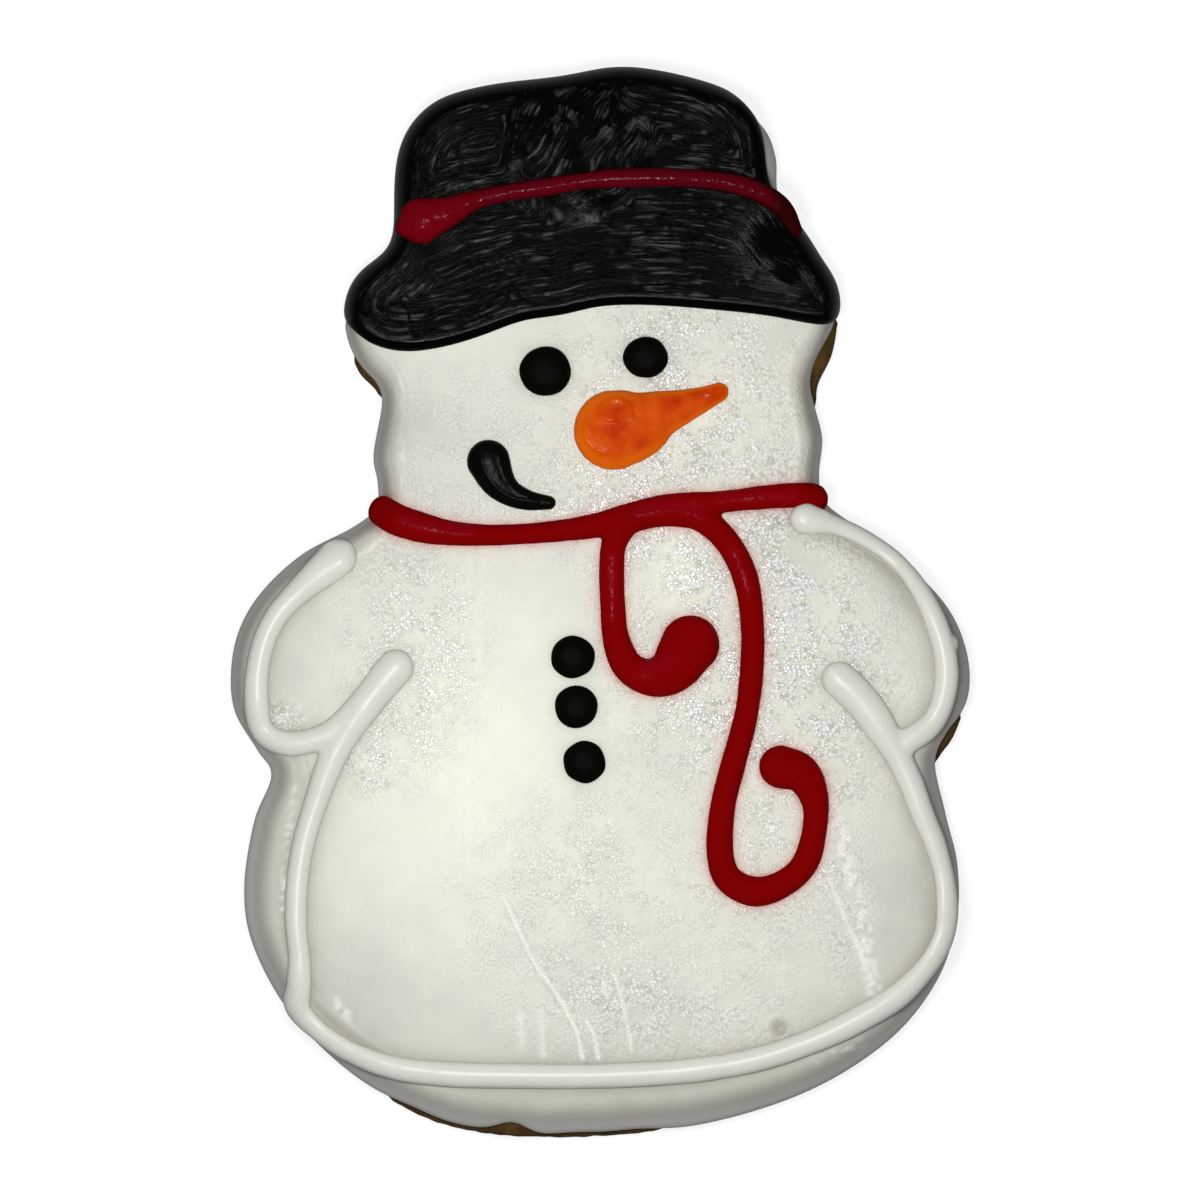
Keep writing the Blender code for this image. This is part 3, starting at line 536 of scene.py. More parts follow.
# Lower edge across the forehead, from its right end to its left
FOREHEAD = [
    (28.9, 33.9), (27.6, 33.3), (24.9, 33.7), (20.0, 34.6), (13.3, 35.3), (6.1, 35.8),
    (0.2, 35.7), (-4.6, 34.6), (-9.5, 33.9), (-14.3, 32.1), (-19.2, 30.7), (-24.0, 30.2),
    (-28.1, 31.3), (-30.6, 33.6),
]
# Right edge of the crown, beside the sliver of white icing, and its top corner
CROWN_EDGE = [(17.5, 60.4), (19.3, 58.2), (20.0, 54.8), (20.3, 51.5), (21.3, 48.9)]
CROWN_CORNER = (16.4, 61.0)
# Line of the band, which the brush followed as it followed the hat's edge
BAND_COURSE = [(-21.5, 46.1), (-15.5, 48.4), (0.0, 51.1), (12.7, 51.1), (19.9, 49.1),
               (23.4, 44.8)]
# Where the brush went to and fro aslant over the crown: x, y, reach, and the
# direction across its strokes
CROSS_STROKES = (-3.0, 55.5, 8.5)
ASLANT = np.array([0.6, -0.4])
# Step along the hat's outline, and over how many steps it is evened out
HAT_STEP = 0.36
HAT_SPREAD = 3.5
# How far in from the hat's edge the brush marks start, and are full
SMOOTH_BORDER = (0.9, 1.8)
BRISTLE_HEIGHT = 0.1
# Width of its round shoulder on the white icing, and at the cookie's edge
HAT_SHOULDERS = (1.3, 2.4)
# Where the black ran out smooth: x, y, reach
WET_BLACK = [(20.5, 43.5, 4.5), (-2.5, 48.3, 1.6), (22.5, 39.5, 2.5)]


def hat_outline():
    """Loop round the hat seen from above, and where it lies on the white icing."""
    count = len(edge)
    parts = []
    for first, last, across in ((CROWN_EDGE[-1], FOREHEAD[0], FOREHEAD),
                                (FOREHEAD[-1], CROWN_CORNER, CROWN_EDGE)):
        start, end = (np.argmin(np.hypot(*(edge - corner).T)) for corner in (first, last))
        along = edge[np.arange(start, end + (count if end < start else 0)) % count]
        over = smooth_path(across, OUTLINE_STEP)
        parts += [np.column_stack([along, np.zeros(len(along))]),
                  np.column_stack([over, np.ones(len(over))])]
    whole = np.vstack(parts)
    whole = whole[np.hypot(*(whole - np.roll(whole, 1, axis=0))[:, :2].T) > 0.2]
    whole = spread_round(smooth_path(whole, HAT_STEP, closed=True), HAT_SPREAD)
    return whole[:, :2], np.clip(whole[:, 2], 0.0, 1.0)


def brushed(points, border):
    """Brush lines at each point, level by level from the border in, and their cover."""
    flat = np.column_stack([points, np.zeros(len(points))])
    sway = np.column_stack([rough(flat, 4.5, 3.0), rough(flat, 4.5, 11.0)])
    aslant = ramp(0.25, 0.5, bell(points + 1.5 * sway, *CROSS_STROKES))
    sway *= 0.35 + aslant[:, None]
    sway += 0.1 * np.column_stack([rough(flat, 1.6, 5.0), rough(flat, 1.6, 15.0)])
    level = ((1.0 - aslant) * gap_to(points + sway, border)
             + aslant * (5.0 + (points + sway - CROSS_STROKES[:2]) @ ASLANT))
    cover = ramp(*SMOOTH_BORDER, gap_to(points, hat_loop)) * np.prod(
        [1.0 - bell(points, *spot) for spot in WET_BLACK], axis=0)
    return np.column_stack([points * 0.1, level * 1.3, cover])


def hat_relief(points):
    """Height of the brush's ridges in the hat's top."""
    lines = brushed(points, brush_border)
    flat = np.column_stack([points, np.zeros(len(points))])
    smeared = ramp(-0.2, 0.2, rough(flat, 4.0, 3.0)) * lines[:, 3]
    bristles = rough(lines[:, :3], 0.9, 1.0) + 0.6 * rough(lines[:, :3], 0.45, 4.0)
    return (BRISTLE_HEIGHT * bristles * (0.3 + 0.7 * smeared)
            + 0.5 * BRISTLE_HEIGHT * rough(flat, 5.0, 8.0))


def brushed_black_icing():
    # Black icing, brushed on: wet jet black where it flowed out smooth, and smears of
    # fine ridges about 0.4 mm apart along the brush's way, painted grey along the streaks
    # partly as thin smeared icing and partly as painted highlight where they catch the light
    material, tree, shader, in_mm = start_finish("brushed_black_icing", IOR=1.45,
                                                 Specular_IOR_Level=0.03)
    lines = node(tree, "Attribute", attribute_name="lines", out="Vector")
    cover = node(tree, "Attribute", attribute_name="cover", out="Fac")
    streaks = node(tree, "TexNoise", {"Vector": lines, "Scale": 2.0, "Detail": 5.0,
                                      "Roughness": 0.65, "Distortion": 0.3})
    patches = node(tree, "TexNoise", {"Vector": in_mm, "Scale": 0.32, "Detail": 4.0,
                                      "Distortion": 1.0})
    some = node(tree, "MapRange", {"Value": patches, "From Min": 0.45, "From Max": 0.57})
    smeared = node(tree, "Math", {0: some, 1: cover}, operation="MULTIPLY")
    # The grey streaks are partly the grey of thin smears and partly painted highlight where they
    # catch the light
    light = node(tree, "MapRange", {"Value": streaks, "From Min": 0.51, "From Max": 0.7})
    grey = node(tree, "Math", {0: light, 1: smeared}, operation="MULTIPLY")
    colour = node(tree, "Mix", {"Factor": grey, 6: linear("#040404"), 7: linear("#565656")},
                  data_type="RGBA", out=2)
    gloss = node(tree, "MapRange", {"Value": smeared, "To Min": 0.14, "To Max": 0.2})
    bump = node(tree, "Bump", {"Height": streaks, "Distance": 0.2 * MM, "Strength": cover})
    feed(tree, shader, Base_Color=colour, Roughness=gloss, Normal=bump)
    return material


hat_loop, resting = hat_outline()
hat_normal = outward(hat_loop, 4.0)
hat_loop = hat_loop + hat_normal * (HAT_OVERLAP * (1.0 - resting))[:, None]
surface = np.array([on_icing(*p)[0].z for p in hat_loop - 0.6 * hat_normal])
hat_rim = spread_round(np.where(resting > 0.5, surface - 0.35, HAT_RIM), 1.5)
hat_width = spread_round(np.where(resting > 0.5, *HAT_SHOULDERS), 5.0)
hat_top = ICING_TOP + HAT_THICKNESS
hat_rings = side_rings(hat_loop, hat_normal, np.zeros(len(hat_loop)), hat_width, hat_rim, hat_top)
under = [np.column_stack([hat_loop - hat_normal * 1.7, np.full(len(hat_loop), ICING_TOP - 0.6)]),
         np.column_stack([hat_loop - hat_normal * 1.2, hat_rim])]
brush_border = np.vstack([smooth_path(hat_loop, 0.15, closed=True),
                          smooth_path(BAND_COURSE, 0.15)])
hat_places, hat_faces = block(under + hat_rings, HAT_GRID, ICING_CROWN, 3.0, hat_relief)
hat = add_piece("brushed_black_hat", hat_places, hat_faces, ["hat_icing"],
                brushed_black_icing())
hat_lines = brushed(hat_places[:, :2], brush_border)
layer = hat.data.attributes.new("lines", "FLOAT_VECTOR", "POINT")
layer.data.foreach_set("vector", hat_lines[:, :3].astype(np.float32).ravel())
mark(hat, "cover", hat_lines[:, 3] * ramp(11.5, 12.3, hat_places[:, 2]))
on_hat = find_on(BVHTree.FromPolygons([Vector(p) for p in hat_places], hat_faces))

# Red piped icing of the hat's band and the scarf: squeezed from a round tip
# about 3 mm wide. The line swells where the hand slowed down and ends in round
# drops. It is glossy and has stained the white icing pink along its edges.
LINE_STEP = 0.4
LINE_SIDES = 22
# Height of a line: a fixed part, and a part of its half width
LINE_HEIGHT = (0.80, 0.55)
SUNK = 0.5
# What is lost at the sides where lines are joined into one skin
SKIN_LOSS = 0.06
# How far a line's round end may sink below the line
END_DROP = 0.5
# A line is widest at this part of its height
WIDEST_AT = 0.16
HAT_BAND = [
    (-21.5, 46.1, 2.8), (-18.3, 47.2, 1.9), (-15.5, 48.4, 1.2), (-11.5, 49.4, 1.05),
    (-6.7, 50.1, 1.0), (0.0, 51.1, 1.05), (7.3, 51.3, 1.1), (12.7, 51.1, 1.1),
    (17.2, 50.3, 1.15), (19.9, 49.1, 1.3), (22.0, 47.1, 1.4), (23.4, 44.8, 0.8),
]
SCARF_NECK = [
    (-27.6, 11.5, 1.7), (-26.2, 10.8, 1.8), (-24.0, 9.6, 1.9), (-19.4, 8.4, 1.6),
    (-14.6, 8.0, 1.3), (-9.7, 8.1, 1.2), (-4.9, 8.5, 1.3), (0.2, 9.3, 1.5), (7.3, 11.4, 1.4),
    (14.6, 12.0, 1.3), (19.4, 12.5, 1.4), (23.7, 12.8, 1.5), (26.3, 12.4, 1.7),
]
SCARF_SHORT_TAIL = [
    (3.0, 9.2, 1.5), (1.7, 7.0, 1.5), (1.4, 4.0, 1.5), (1.5, 0.1, 1.5), (1.9, -4.4, 1.6),
    (3.3, -7.8, 1.9), (5.9, -9.2, 2.3), (8.6, -8.4, 2.9), (10.9, -5.3, 3.5),
]
SCARF_LONG_TAIL = [
    (3.0, 9.4, 1.5), (6.0, 10.5, 1.7), (9.2, 10.7, 1.7), (12.4, 9.9, 1.6), (15.5, 7.0, 1.5),
    (17.6, 2.8, 1.5), (18.4, -2.3, 1.4), (18.4, -7.8, 1.4), (17.7, -13.8, 1.4),
    (16.1, -19.9, 1.5), (14.9, -24.7, 1.5), (14.5, -30.0, 1.6), (15.5, -33.6, 1.7),
    (18.8, -35.2, 1.8), (22.4, -34.1, 1.6), (25.0, -31.4, 1.6), (26.1, -26.6, 1.5),
    (25.8, -23.4, 1.8), (24.3, -20.9, 2.3), (21.9, -20.1, 2.6),
]


def piped_line(points, find, wobble=0.04, seed=0.0, flat=1.0):
    """A half-round line that follows a surface, as places and faces."""
    path = smooth_path(points, LINE_STEP)
    radius = path[:, 2] + SKIN_LOSS
    swing = np.array([noise.noise(Vector((n * LINE_STEP / 3.5, seed, 0.5)))
                      + 0.5 * noise.noise(Vector((n * LINE_STEP / 1.4, seed, 3.5)))
                      for n in range(len(path))])
    radius = radius * (1.0 + wobble * swing)
    first = path[0, :2] - path[1, :2]
    last = path[-1, :2] - path[-2, :2]
    ends = np.sin(np.linspace(0.0, 0.5 * math.pi, 7))[1:]
    stations = [(*p, r, 1.0) for p, r in zip(path[:, :2], radius)]
    for reach in ends:
        share = max(0.03, math.sqrt(1.0 - min(0.999, reach ** 2)))
        start = path[0, :2] + first / np.linalg.norm(first) * radius[0] * reach
        stations.insert(0, (*start, radius[0], share))
        end = path[-1, :2] + last / np.linalg.norm(last) * radius[-1] * reach
        stations.append((*end, radius[-1], share))
    found = [find(s[0], s[1]) for s in stations]
    middle = np.array([place for place, _ in found])
    up = np.array([normal for _, normal in found])
    cap = len(ends)
    middle[:cap, 2] = np.maximum(middle[:cap, 2], middle[cap, 2] - END_DROP)
    middle[-cap:, 2] = np.maximum(middle[-cap:, 2], middle[-cap - 1, 2] - END_DROP)
    up[:cap], up[-cap:] = up[cap], up[-cap - 1]
    middle[:, 2] = [middle[max(0, n - 3):n + 4, 2].mean() for n in range(len(middle))]
    up = np.array([up[max(0, n - 3):n + 4].mean(axis=0) for n in range(len(up))])
    forward = np.gradient(middle, axis=0)
    side = np.cross(forward, up)
    side /= np.linalg.norm(side, axis=1)[:, None]
    up = np.cross(side, forward)
    up /= np.linalg.norm(up, axis=1)[:, None]
    places = []
    for place, s, u, (_, _, r, share) in zip(middle, side, up, stations):
        height = flat * (LINE_HEIGHT[0] + LINE_HEIGHT[1] * r)
        centre = WIDEST_AT * height
        for n in range(LINE_SIDES):
            angle = 2.0 * math.pi * n / LINE_SIDES
            out = r * share * math.cos(angle)
            rise = math.sin(angle)
            level = centre + (height - centre) * rise if rise > 0.0 else (
                centre + (centre + SUNK) * rise)
            if share < 1.0:
                level = -SUNK + (level + SUNK) * (0.25 + 0.75 * math.sqrt(share))
            places.append(place + s * out + u * level)
    faces = ring_faces(len(stations), LINE_SIDES)
    faces += [tuple(range(LINE_SIDES)), tuple(range(len(places) - LINE_SIDES, len(places)))]
    return np.array(places), faces


def piped_drop(x, y, half_width, half_length, height, find, seed=0.0, uneven=0.03):
    """A round drop set into a surface, a little uneven, as places and faces."""
    place, _ = find(x, y)
    around, rows = 56, 26
    places = []
    for row in range(1, rows):
        tilt = math.pi * row / rows
        for n in range(around):
            turn = 2.0 * math.pi * n / around
            way = Vector((math.cos(turn) * math.sin(tilt), math.sin(turn) * math.sin(tilt),
                          math.cos(tilt)))
            swell = 1.0 + uneven * noise.noise(way * 1.3 + Vector((seed, 0.0, 0.0)))
            rise = way.z * height if way.z > 0.0 else way.z * SUNK
            places.append((place.x + way.x * half_width * swell,
                           place.y + way.y * half_length * swell,
                           place.z + 0.3 * height * math.sin(tilt) * (way.z > -0.5)
                           + rise * swell * (0.7 + 0.3 * abs(way.z))))
    faces = ring_faces(rows - 1, around)
    faces += [tuple(range(around)), tuple(range(len(places) - around, len(places)))]
    return np.array(places), faces


def flow_together(parts, voxel, rounds):
    """Joins overlapping parts into one skin, as wet icing flows together."""
    places, faces = [], []
    for part_places, part_faces in parts:
        start = sum(len(p) for p in places)
        places.append(part_places)
        faces += [[start + c for c in face] for face in part_faces]
    data = closed_mesh("flowing", np.vstack(places), faces)
    item = show("flowing", data)
    remesh = item.modifiers.new("skin", "REMESH")
    remesh.mode = "VOXEL"
    remesh.voxel_size = voxel
    relax = item.modifiers.new("relax", "SMOOTH")
    relax.factor = 0.5
    relax.iterations = rounds
    graph = bpy.context.evaluated_depsgraph_get()
    result = bpy.data.meshes.new_from_object(item.evaluated_get(graph))
    joined = np.empty(len(result.vertices) * 3)
    result.vertices.foreach_get("co", joined)
    polygons = [tuple(polygon.vertices) for polygon in result.polygons]
    bpy.data.objects.remove(item, do_unlink=True)
    for used in (result, data):
        bpy.data.meshes.remove(used)
    return joined.reshape(-1, 3), polygons


def piped_red_icing(name, bright, deep, shine):
    # Piped icing coloured with red paste, dried smooth: a deep even red, darker where
    # it lies thin over black, with thin broken highlights where the skin stayed wet
    # over ripples about 0.8 mm long, and a pink tint painted there as painted sheen
    material, tree, shader, in_mm = start_finish(name, IOR=1.47, Specular_IOR_Level=shine)
    wet = node(tree, "Attribute", attribute_name="wet", out="Fac")
    thin = node(tree, "Attribute", attribute_name="thin", out="Fac")
    clouds = node(tree, "TexNoise", {"Vector": in_mm, "Scale": 0.12, "Detail": 3.0})
    ripples = node(tree, "TexNoise", {"Vector": in_mm, "Scale": 1.3, "Detail": 2.0})
    # Painted sheen: the wet, glossy places are painted pinker
    pink_sheen = node(tree, "Math", {0: wet, 1: 0.35}, operation="MULTIPLY")
    colour = linear(bright)
    for factor, shade in ((clouds, deep), (thin, "#240102"), (pink_sheen, "#8C0A24")):
        colour = node(tree, "Mix", {"Factor": factor, 6: colour, 7: linear(shade)},
                      data_type="RGBA", out=2)
    crest = node(tree, "MapRange", {"Value": ripples, "From Min": 0.38, "From Max": 0.46})
    shiny = node(tree, "Math", {0: crest, 1: wet}, operation="MULTIPLY")
    gloss = node(tree, "MapRange", {"Value": shiny, "From Max": 0.6, "To Min": 0.75,
                                    "To Max": 0.13})
    bump = node(tree, "Bump", {"Height": ripples, "Distance": 0.14 * MM, "Strength": 0.8})
    feed(tree, shader, Base_Color=colour, Roughness=gloss, Normal=bump)
    return material


# Ridges that the tip left where the band's first drop was squeezed out
BAND_SWIRL = [([(-20.4, 44.4), (-18.7, 45.3), (-18.3, 46.9), (-17.3, 48.0)], 0.3, 0.12)]
band_places, band_faces = flow_together([piped_line(HAT_BAND, on_hat, 0.10, 2.0)],
                                        voxel=0.2, rounds=4)
band_places[:, 2] += lines_over(band_places[:, :2], BAND_SWIRL) * ramp(
    13.2, 13.8, band_places[:, 2])
band = add_piece("piped_hat_band", band_places, band_faces, ["hat_band"],
                 piped_red_icing("piped_red_icing_over_black", "#680002", "#580001", 0.035))
mark(band, "thin", 0.62 * ramp(-19.0, -13.0, band_places[:, 0])
     + 0.28 * ramp(-12.0, 22.0, band_places[:, 0]))
# The band's top is made glossy and painted pinker as painted sheen
mark(band, "wet", 0.8 * ramp(12.9, 13.6, band_places[:, 2]))

scarf_places, scarf_faces = flow_together([
    piped_line(SCARF_NECK, on_icing, 0.04, 1.0),
    piped_line(SCARF_SHORT_TAIL, on_icing, 0.03, 5.0),
    piped_line(SCARF_LONG_TAIL, on_icing, 0.03, 9.0),
], voxel=0.24, rounds=6)
scarf = add_piece("piped_scarf", scarf_places, scarf_faces, ["scarf"],
                  piped_red_icing("piped_red_icing", "#8A0002", "#780001", 0.022))
# Where the scarf's skin stayed wet and glossy, and is painted pinker as painted sheen: points,
# half width, strength
WET_RED = [
    ([(4.9, 10.9), (7.5, 11.6), (10.0, 11.6), (12.1, 10.6)], 0.7, 1.0),
    ([(14.6, 12.6), (18.8, 12.8), (23.0, 12.8)], 0.6, 0.9),
    ([(-23.7, 10.0), (-20.0, 9.0), (-15.8, 8.6)], 0.6, 0.9),
    ([(5.5, -8.6), (6.3, -7.2), (7.2, -7.6), (8.0, -6.6)], 0.6, 1.0),
    ([(13.1, -3.7), (13.3, -4.1)], 0.5, 1.0), ([(1.3, 5.0), (1.4, -2.0)], 0.5, 0.6),
    ([(16.0, 5.5), (17.8, 1.5)], 0.5, 0.7),
]
mark(scarf, "wet", np.minimum(lines_over(scarf_places[:, :2], WET_RED), 1.0))

# White piped lines round both arms and the belly: the same tip, in white, laid
# over the dried icing. The arm lines run into the belly line while wet.
ARM_LOOP_LEFT = [
    (-31.8, 5.0, 2.5), (-34.2, 3.1, 2.0), (-36.6, 1.0, 1.6), (-39.2, -1.9, 1.4),
    (-40.9, -5.7, 1.4), (-41.6, -10.6, 1.5), (-40.8, -15.3, 1.6), (-37.8, -17.2, 1.5),
    (-34.0, -16.6, 1.5),
]
BODY_LINE = [
    (-24.8, -8.1, 2.2), (-27.4, -11.2, 2.1), (-30.1, -14.9, 1.9), (-32.4, -19.0, 1.7),
    (-34.3, -24.1, 1.5), (-35.8, -29.0, 1.4), (-36.6, -33.8, 1.4), (-36.8, -38.7, 1.35),
    (-36.4, -42.9, 1.35), (-36.3, -46.6, 1.6), (-36.3, -49.0, 1.9), (-33.8, -51.8, 1.6),
    (-30.0, -54.4, 1.5), (-24.9, -56.4, 1.5), (-18.2, -57.3, 1.5), (-9.7, -57.5, 1.5),
    (0.0, -57.5, 1.5), (9.7, -57.0, 1.5), (18.2, -55.7, 1.5), (24.9, -53.6, 1.5),
    (30.3, -51.2, 1.6), (35.6, -48.0, 1.6), (39.0, -44.6, 1.5), (41.0, -41.2, 1.6),
    (41.7, -37.7, 1.6), (41.4, -33.4, 1.35), (40.4, -29.6, 1.4), (39.0, -26.0, 1.45),
    (37.7, -22.3, 1.5), (36.0, -18.6, 1.6), (34.2, -15.7, 1.9), (32.3, -12.9, 2.1),
    (30.5, -10.9, 2.2), (29.0, -9.5, 2.15),
]
ARM_LOOP_RIGHT = [
    (24.9, 9.9, 2.0), (28.0, 9.0, 1.4), (31.6, 7.3, 1.3), (35.6, 4.5, 1.3), (38.8, 0.6, 1.35),
    (41.0, -3.8, 1.4), (41.9, -8.1, 1.45), (41.5, -11.8, 1.45), (39.9, -14.9, 1.5),
    (37.0, -17.2, 1.6),
]
# Where the arm lines run on into the belly line, and how far each joint spreads
RUN_IN_LEFT = [(-31.6, -15.2, 1.6), (-29.4, -12.9, 1.6), (-27.8, -11.0, 1.5)]
JOINTS = [(-32.0, -16.4, 2.1, 2.0), (36.4, -17.4, 2.0, 2.0)]
# Drops beside the lines where the hand paused: x, y, half width and half length
PAUSES = [(-31.8, 5.2, 2.4, 2.3), (26.6, 9.6, 1.7, 1.6), (42.6, -5.3, 0.9, 1.3),
          (-36.9, -49.2, 1.3, 1.1), (42.6, -39.3, 0.9, 1.2)]
piping_places, piping_faces = flow_together([
    piped_line(ARM_LOOP_LEFT + RUN_IN_LEFT, on_icing, 0.04, 11.0),
    piped_line(BODY_LINE, on_icing, 0.04, 15.0),
    piped_line(ARM_LOOP_RIGHT, on_icing, 0.04, 19.0),
] + [piped_drop(*spot, 1.5, on_icing) for spot in JOINTS + PAUSES],
                                            voxel=0.24, rounds=8)
piping = add_piece("white_piping", piping_places, piping_faces, ["white_piping"],
                   glaze_icing("piped_white_icing", 0.02, "#DADAD0", "#E8E8DF", "#BBB8AA",
                               0.25, 0.33))
piping_rise = piping_places[:, 2] - [on_icing(p[0], p[1])[0].z for p in piping_places]
# Painted shade on the lower sides of each line, in the side colour given above
mark(piping, "low", 0.7 * ramp(1.2, 0.0, piping_rise))
mark(piping, "tone", np.full(len(piping_places), 0.7))

# Eyes, mouth and buttons: black icing piped as round drops and one teardrop.
# They dried with a satin skin, and the mouth kept the ridges of the tip.
DROPS = {
    "left_eye": (-6.6, 27.8, 3.15, 2.95, 1.7), "right_eye": (5.5, 29.5, 2.7, 2.5, 1.6),
    "button_top": (-3.3, -6.8, 2.65, 2.6, 1.6), "button_middle": (-2.9, -12.8, 2.6, 2.6, 1.6),
    "button_bottom": (-1.9, -19.5, 2.55, 2.55, 1.6),
}
MOUTH = [
    (-13.5, 16.9, 2.6), (-12.4, 14.6, 2.1), (-10.9, 13.1, 1.6), (-8.7, 12.2, 1.2),
    (-6.2, 11.9, 0.8),
]


def piped_black_icing(name, shine, smooth, dull):
    # Piped icing coloured with black paste: near black with a hint of brown, and a
    # fine satin skin that greys where the light falls on it
    material, tree, shader, in_mm = start_finish(name, IOR=1.45, Specular_IOR_Level=shine)
    mottle = node(tree, "TexNoise", {"Vector": in_mm, "Scale": 1.6, "Detail": 4.0})
    colour = node(tree, "Mix", {"Factor": mottle, 6: linear("#050503"), 7: linear("#0D0C08")},
                  data_type="RGBA", out=2)
    gloss = node(tree, "MapRange", {"Value": mottle, "To Min": smooth, "To Max": dull})
    bump = node(tree, "Bump", {"Height": mottle, "Distance": 0.08 * MM, "Strength": 0.7})
    feed(tree, shader, Base_Color=colour, Roughness=gloss, Normal=bump)
    return material


black_icing = piped_black_icing("piped_black_icing", 0.016, 0.35, 0.6)
for number, (name, sizes) in enumerate(DROPS.items()):
    drop_places, drop_faces = piped_drop(*sizes, on_icing, 2.0 * number, 0.05)
    add_piece("piped_" + name, drop_places, drop_faces, [name], black_icing)
# Lengthwise ridges that the tip drew into the mouth
MOUTH_RIDGES = [
    ([(-14.6, 18.2), (-13.9, 15.6), (-12.4, 13.6), (-10.4, 12.4), (-7.6, 12.0)], 0.22, 0.12),
    ([(-12.3, 17.8), (-11.5, 15.2), (-10.2, 13.4), (-8.6, 12.6)], 0.22, 0.10),
]
mouth_places, mouth_faces = flow_together([piped_line(MOUTH, on_icing, 0.03, 23.0, 0.8)],
                                          voxel=0.16, rounds=3)
mouth_places[:, 2] += lines_over(mouth_places[:, :2], MOUTH_RIDGES) * ramp(
    11.9, 12.4, mouth_places[:, 2])
add_piece("piped_mouth", mouth_places, mouth_faces, ["mouth"],
          piped_black_icing("drawn_black_icing", 0.04, 0.2, 0.4))

# Nose: a carrot of orange icing, squeezed from the same tip in a curl, so that it
# is fat at its root, and drawn out to a point. It lies on the dried white icing.
NOSE = [
    (1.7, 20.7, 4.75), (4.9, 21.5, 4.1), (7.5, 22.7, 2.9), (10.2, 23.6, 2.05),
    (12.6, 24.5, 1.5), (14.4, 25.3, 1.15),
]


def piped_orange_icing():
    # Piped icing coloured orange: a redder thick middle, a lighter rim where the layer
    # is thin, and a satin skin that shines along the curl it was squeezed out in
    material, tree, shader, in_mm = start_finish("piped_orange_icing", IOR=1.47,
                                                 Specular_IOR_Level=0.07)
    rim = node(tree, "Attribute", attribute_name="rim", out="Fac")
    wet = node(tree, "Attribute", attribute_name="wet", out="Fac")
    mottle = node(tree, "TexNoise", {"Vector": in_mm, "Scale": 0.35, "Detail": 3.0})
    mottle = node(tree, "MapRange", {"Value": mottle, "From Min": 0.35, "From Max": 0.65})
    colour = linear("#C43400")
    for factor, shade in ((mottle, "#DE5606"), (rim, "#E86A0A")):
        colour = node(tree, "Mix", {"Factor": factor, 6: colour, 7: linear(shade)},
                      data_type="RGBA", out=2)
    ripples = node(tree, "TexNoise", {"Vector": in_mm, "Scale": 1.1, "Detail": 2.0})
    gloss = node(tree, "MapRange", {"Value": wet, "From Max": 0.6, "To Min": 0.7,
                                    "To Max": 0.14})
    bump = node(tree, "Bump", {"Height": ripples, "Distance": 0.12 * MM, "Strength": 0.8})
    feed(tree, shader, Base_Color=colour, Roughness=gloss, Normal=bump)
    return material


# Ridges of the curl in which the nose was squeezed out
NOSE_SWIRL = [
    ([(3.9, 22.3), (3.2, 24.0), (1.4, 24.4), (0.1, 23.4), (0.6, 22.2), (1.8, 22.0)], 0.3, 0.2),
    ([(-1.9, 21.4), (-1.8, 19.9), (-0.9, 18.6), (0.6, 17.9)], 0.3, 0.18),
    ([(12.6, 25.4), (13.4, 24.9), (14.2, 25.2)], 0.3, 0.12),
]
nose_places, nose_faces = flow_together([piped_line(NOSE, on_icing, 0.02, 27.0, 0.62)],
                                        voxel=0.18, rounds=4)
nose_places[:, 2] += lines_over(nose_places[:, :2], NOSE_SWIRL) * ramp(
    11.8, 12.3, nose_places[:, 2])
nose = add_piece("piped_nose", nose_places, nose_faces, ["nose"],
                 piped_orange_icing())
nose_path = smooth_path(NOSE, 0.3)
nose_reach = np.array([min(np.hypot(*(p[:2] - q[:2])) / q[2] for q in nose_path)
                       for p in nose_places])
mark(nose, "rim", ramp(0.55, 1.0, nose_reach))
nose_curl = lines_over(nose_places[:, :2], [(path, 0.5, 1.0) for path, _, _ in NOSE_SWIRL])
mark(nose, "wet", np.minimum(nose_curl, 1.0))

# Stain, grain and painted light and shade of the white icing, set now that what
# lies on it is known: pink beside the scarf, sugar grain in patches, painted shade
# on the sides and beside the lines and drops, painted light at the foot of the
# sides, and painted highlight along ridges and creases.
red_paths = np.vstack([smooth_path(path, 0.4) for path in
                       (SCARF_NECK, SCARF_SHORT_TAIL, SCARF_LONG_TAIL)])
red_tree = corner_tree(red_paths)
stain = np.array([min(away - red_paths[n][2] for _, n, away in
                      red_tree.find_n((p[0], p[1], 0.0), 4)) for p in icing_places])
mark(white_icing, "stain", SCARF_STAIN * np.exp(-np.clip(stain, 0.0, None) / 0.45)
     * ramp(6.5, 9.5, icing_places[:, 2]))
grainy = sum(strength * np.exp(-(((icing_places[:, 0] - x) / across) ** 2
                                 + ((icing_places[:, 1] - y) / along) ** 2) ** 1.5)
             for x, y, across, along, strength in GRAINY)
mark(white_icing, "grainy", np.clip(grainy, 0.0, 1.0))
# Painted shade: the steep shoulder and side are painted greyer, except at the white sliver
mark(white_icing, "low", ramp(10.5, 8.0, icing_places[:, 2])
     * (1.0 - bell(icing_places, *WHITE_SLIVER)))
# Painted light: the lower part of the side is painted lighter, lifting it against the shade there
mark(white_icing, "foot", 0.9 * ramp(9.4, 5.5, icing_places[:, 2]))
mark(white_icing, "tone", np.clip(0.42 + sum(strength * bell(icing_places, x, y, reach)
                                             for x, y, reach, strength in TONES), 0.0, 1.0))
# Painted highlight: the drag marks' crests and the speck lines are painted whiter
ridge = (lines_over(icing_places[:, :2], DRAG_MARKS) / 0.15
         + lines_over(icing_places[:, :2], SPECKS) * ramp(-0.3, 0.4, rough(icing_places, 0.7)))
mark(white_icing, "ridge", np.clip(ridge, 0.0, 0.85))
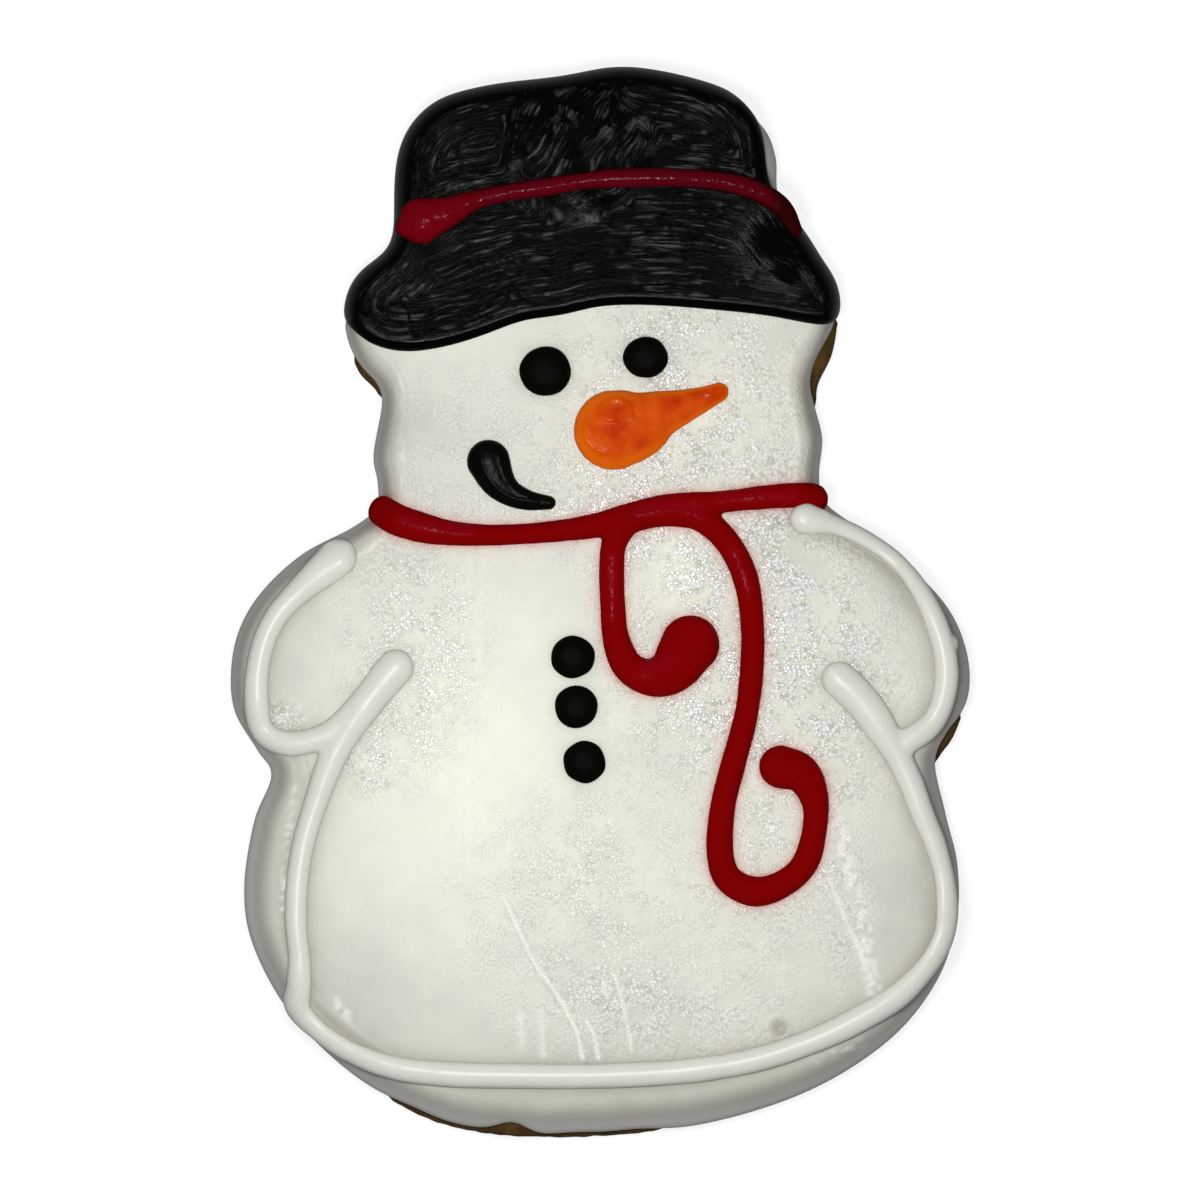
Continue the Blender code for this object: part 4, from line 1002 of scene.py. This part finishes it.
# Painted shade beside a line, round a drop and in the burst bubble's pit: the icing there is
# painted darker
white_paths = np.vstack([smooth_path(path, 0.4) for path in
                         (ARM_LOOP_LEFT, BODY_LINE, ARM_LOOP_RIGHT)])
drop_spots = np.array([spot[:3] for spot in DROPS.values()])
line_gap = gap_to(icing_places, white_paths) - 1.5
drop_gap = np.min([np.hypot(icing_places[:, 0] - x, icing_places[:, 1] - y) - radius
                   for x, y, radius in drop_spots], axis=0)
painted_shade = (0.42 * np.exp(-np.clip(line_gap, 0.0, None) / 1.1)
          + 0.22 * np.exp(-np.clip(drop_gap, 0.0, None) / 0.7))
pit = 0.5 * bell(icing_places, *BUBBLE_PIT[:3])
mark(white_icing, "painted_shade", (painted_shade + pit) * ramp(10.0, 10.9, icing_places[:, 2]))

# Floor, light and camera. The photograph was taken from straight above with a
# light close to the lens, so the top is bright and the sides fall away.
# Height of the camera and width of what it shows, in metres
CAMERA_HEIGHT = 4.0
PICTURE_WIDTH = 0.14556
# The picture's middle in the drawing, and how high the cookie is widest
PICTURE_CENTRE = (0.0, 0.121)
SILHOUETTE_HEIGHT = 7.0
# Size and level of the floor, and place and size of the light, in metres
FLOOR_REACH = 2
FLOOR_LEVEL = -0.0002
LIGHT_PLACE = (-0.020, -0.012, 0.42)
LIGHT_SIZE = (0.06, 0.06)
LIGHT_POWER = 1.24
SKY = 0.19
FLOOR_GLOW = 0.86


def table_top():
    # Painted board, rolled matt white: an even pale ground with a faint tooth
    material, tree, shader, in_mm = start_finish("matt_white_board", Roughness=0.9, IOR=1.45,
                                                 Specular_IOR_Level=0.0,
                                                 Emission_Color=linear("#FFFFFF"),
                                                 Emission_Strength=FLOOR_GLOW)
    tooth = node(tree, "TexNoise", {"Vector": in_mm, "Scale": 1.5, "Detail": 3.0})
    colour = node(tree, "Mix", {"Factor": tooth, 6: linear("#7E7E7E"), 7: linear("#7A7A7A")},
                  data_type="RGBA", out=2)
    feed(tree, shader, Base_Color=colour)
    return material


board = bpy.data.meshes.new("floor")
board.from_pydata([(x * FLOOR_REACH, y * FLOOR_REACH, FLOOR_LEVEL)
                   for x, y in ((-1, -1), (1, -1), (1, 1), (-1, 1))], [], [(0, 1, 2, 3)])
board.materials.append(table_top())
floor = show("floor", board)
# The photograph shows no light thrown up from the table onto the sides
floor.visible_diffuse = False
floor.visible_glossy = False

lamp = bpy.data.lights.new("softbox", "AREA")
lamp.shape = "RECTANGLE"
lamp.size, lamp.size_y = LIGHT_SIZE
lamp.energy = LIGHT_POWER
softbox = show("softbox", lamp)
softbox.location = LIGHT_PLACE

world = bpy.data.worlds.new("studio")
world.use_nodes = True
sky = world.node_tree.nodes["Background"].inputs
sky["Color"].default_value = linear("#FFFFFF")
sky["Strength"].default_value = SKY
bpy.context.scene.world = world

lens = bpy.data.cameras.new("camera")
lens.sensor_width = 36.0
lens.lens = 36.0 * (CAMERA_HEIGHT - SILHOUETTE_HEIGHT * MM) / PICTURE_WIDTH
lens.clip_start, lens.clip_end = 0.1, 10.0
camera = show("camera", lens)
camera.location = [(PICTURE_CENTRE[n] + DRAWN_AT[n]) * MM for n in (0, 1)] + [CAMERA_HEIGHT]
bpy.context.scene.camera = camera
bpy.context.scene.view_settings.view_transform = "Standard"
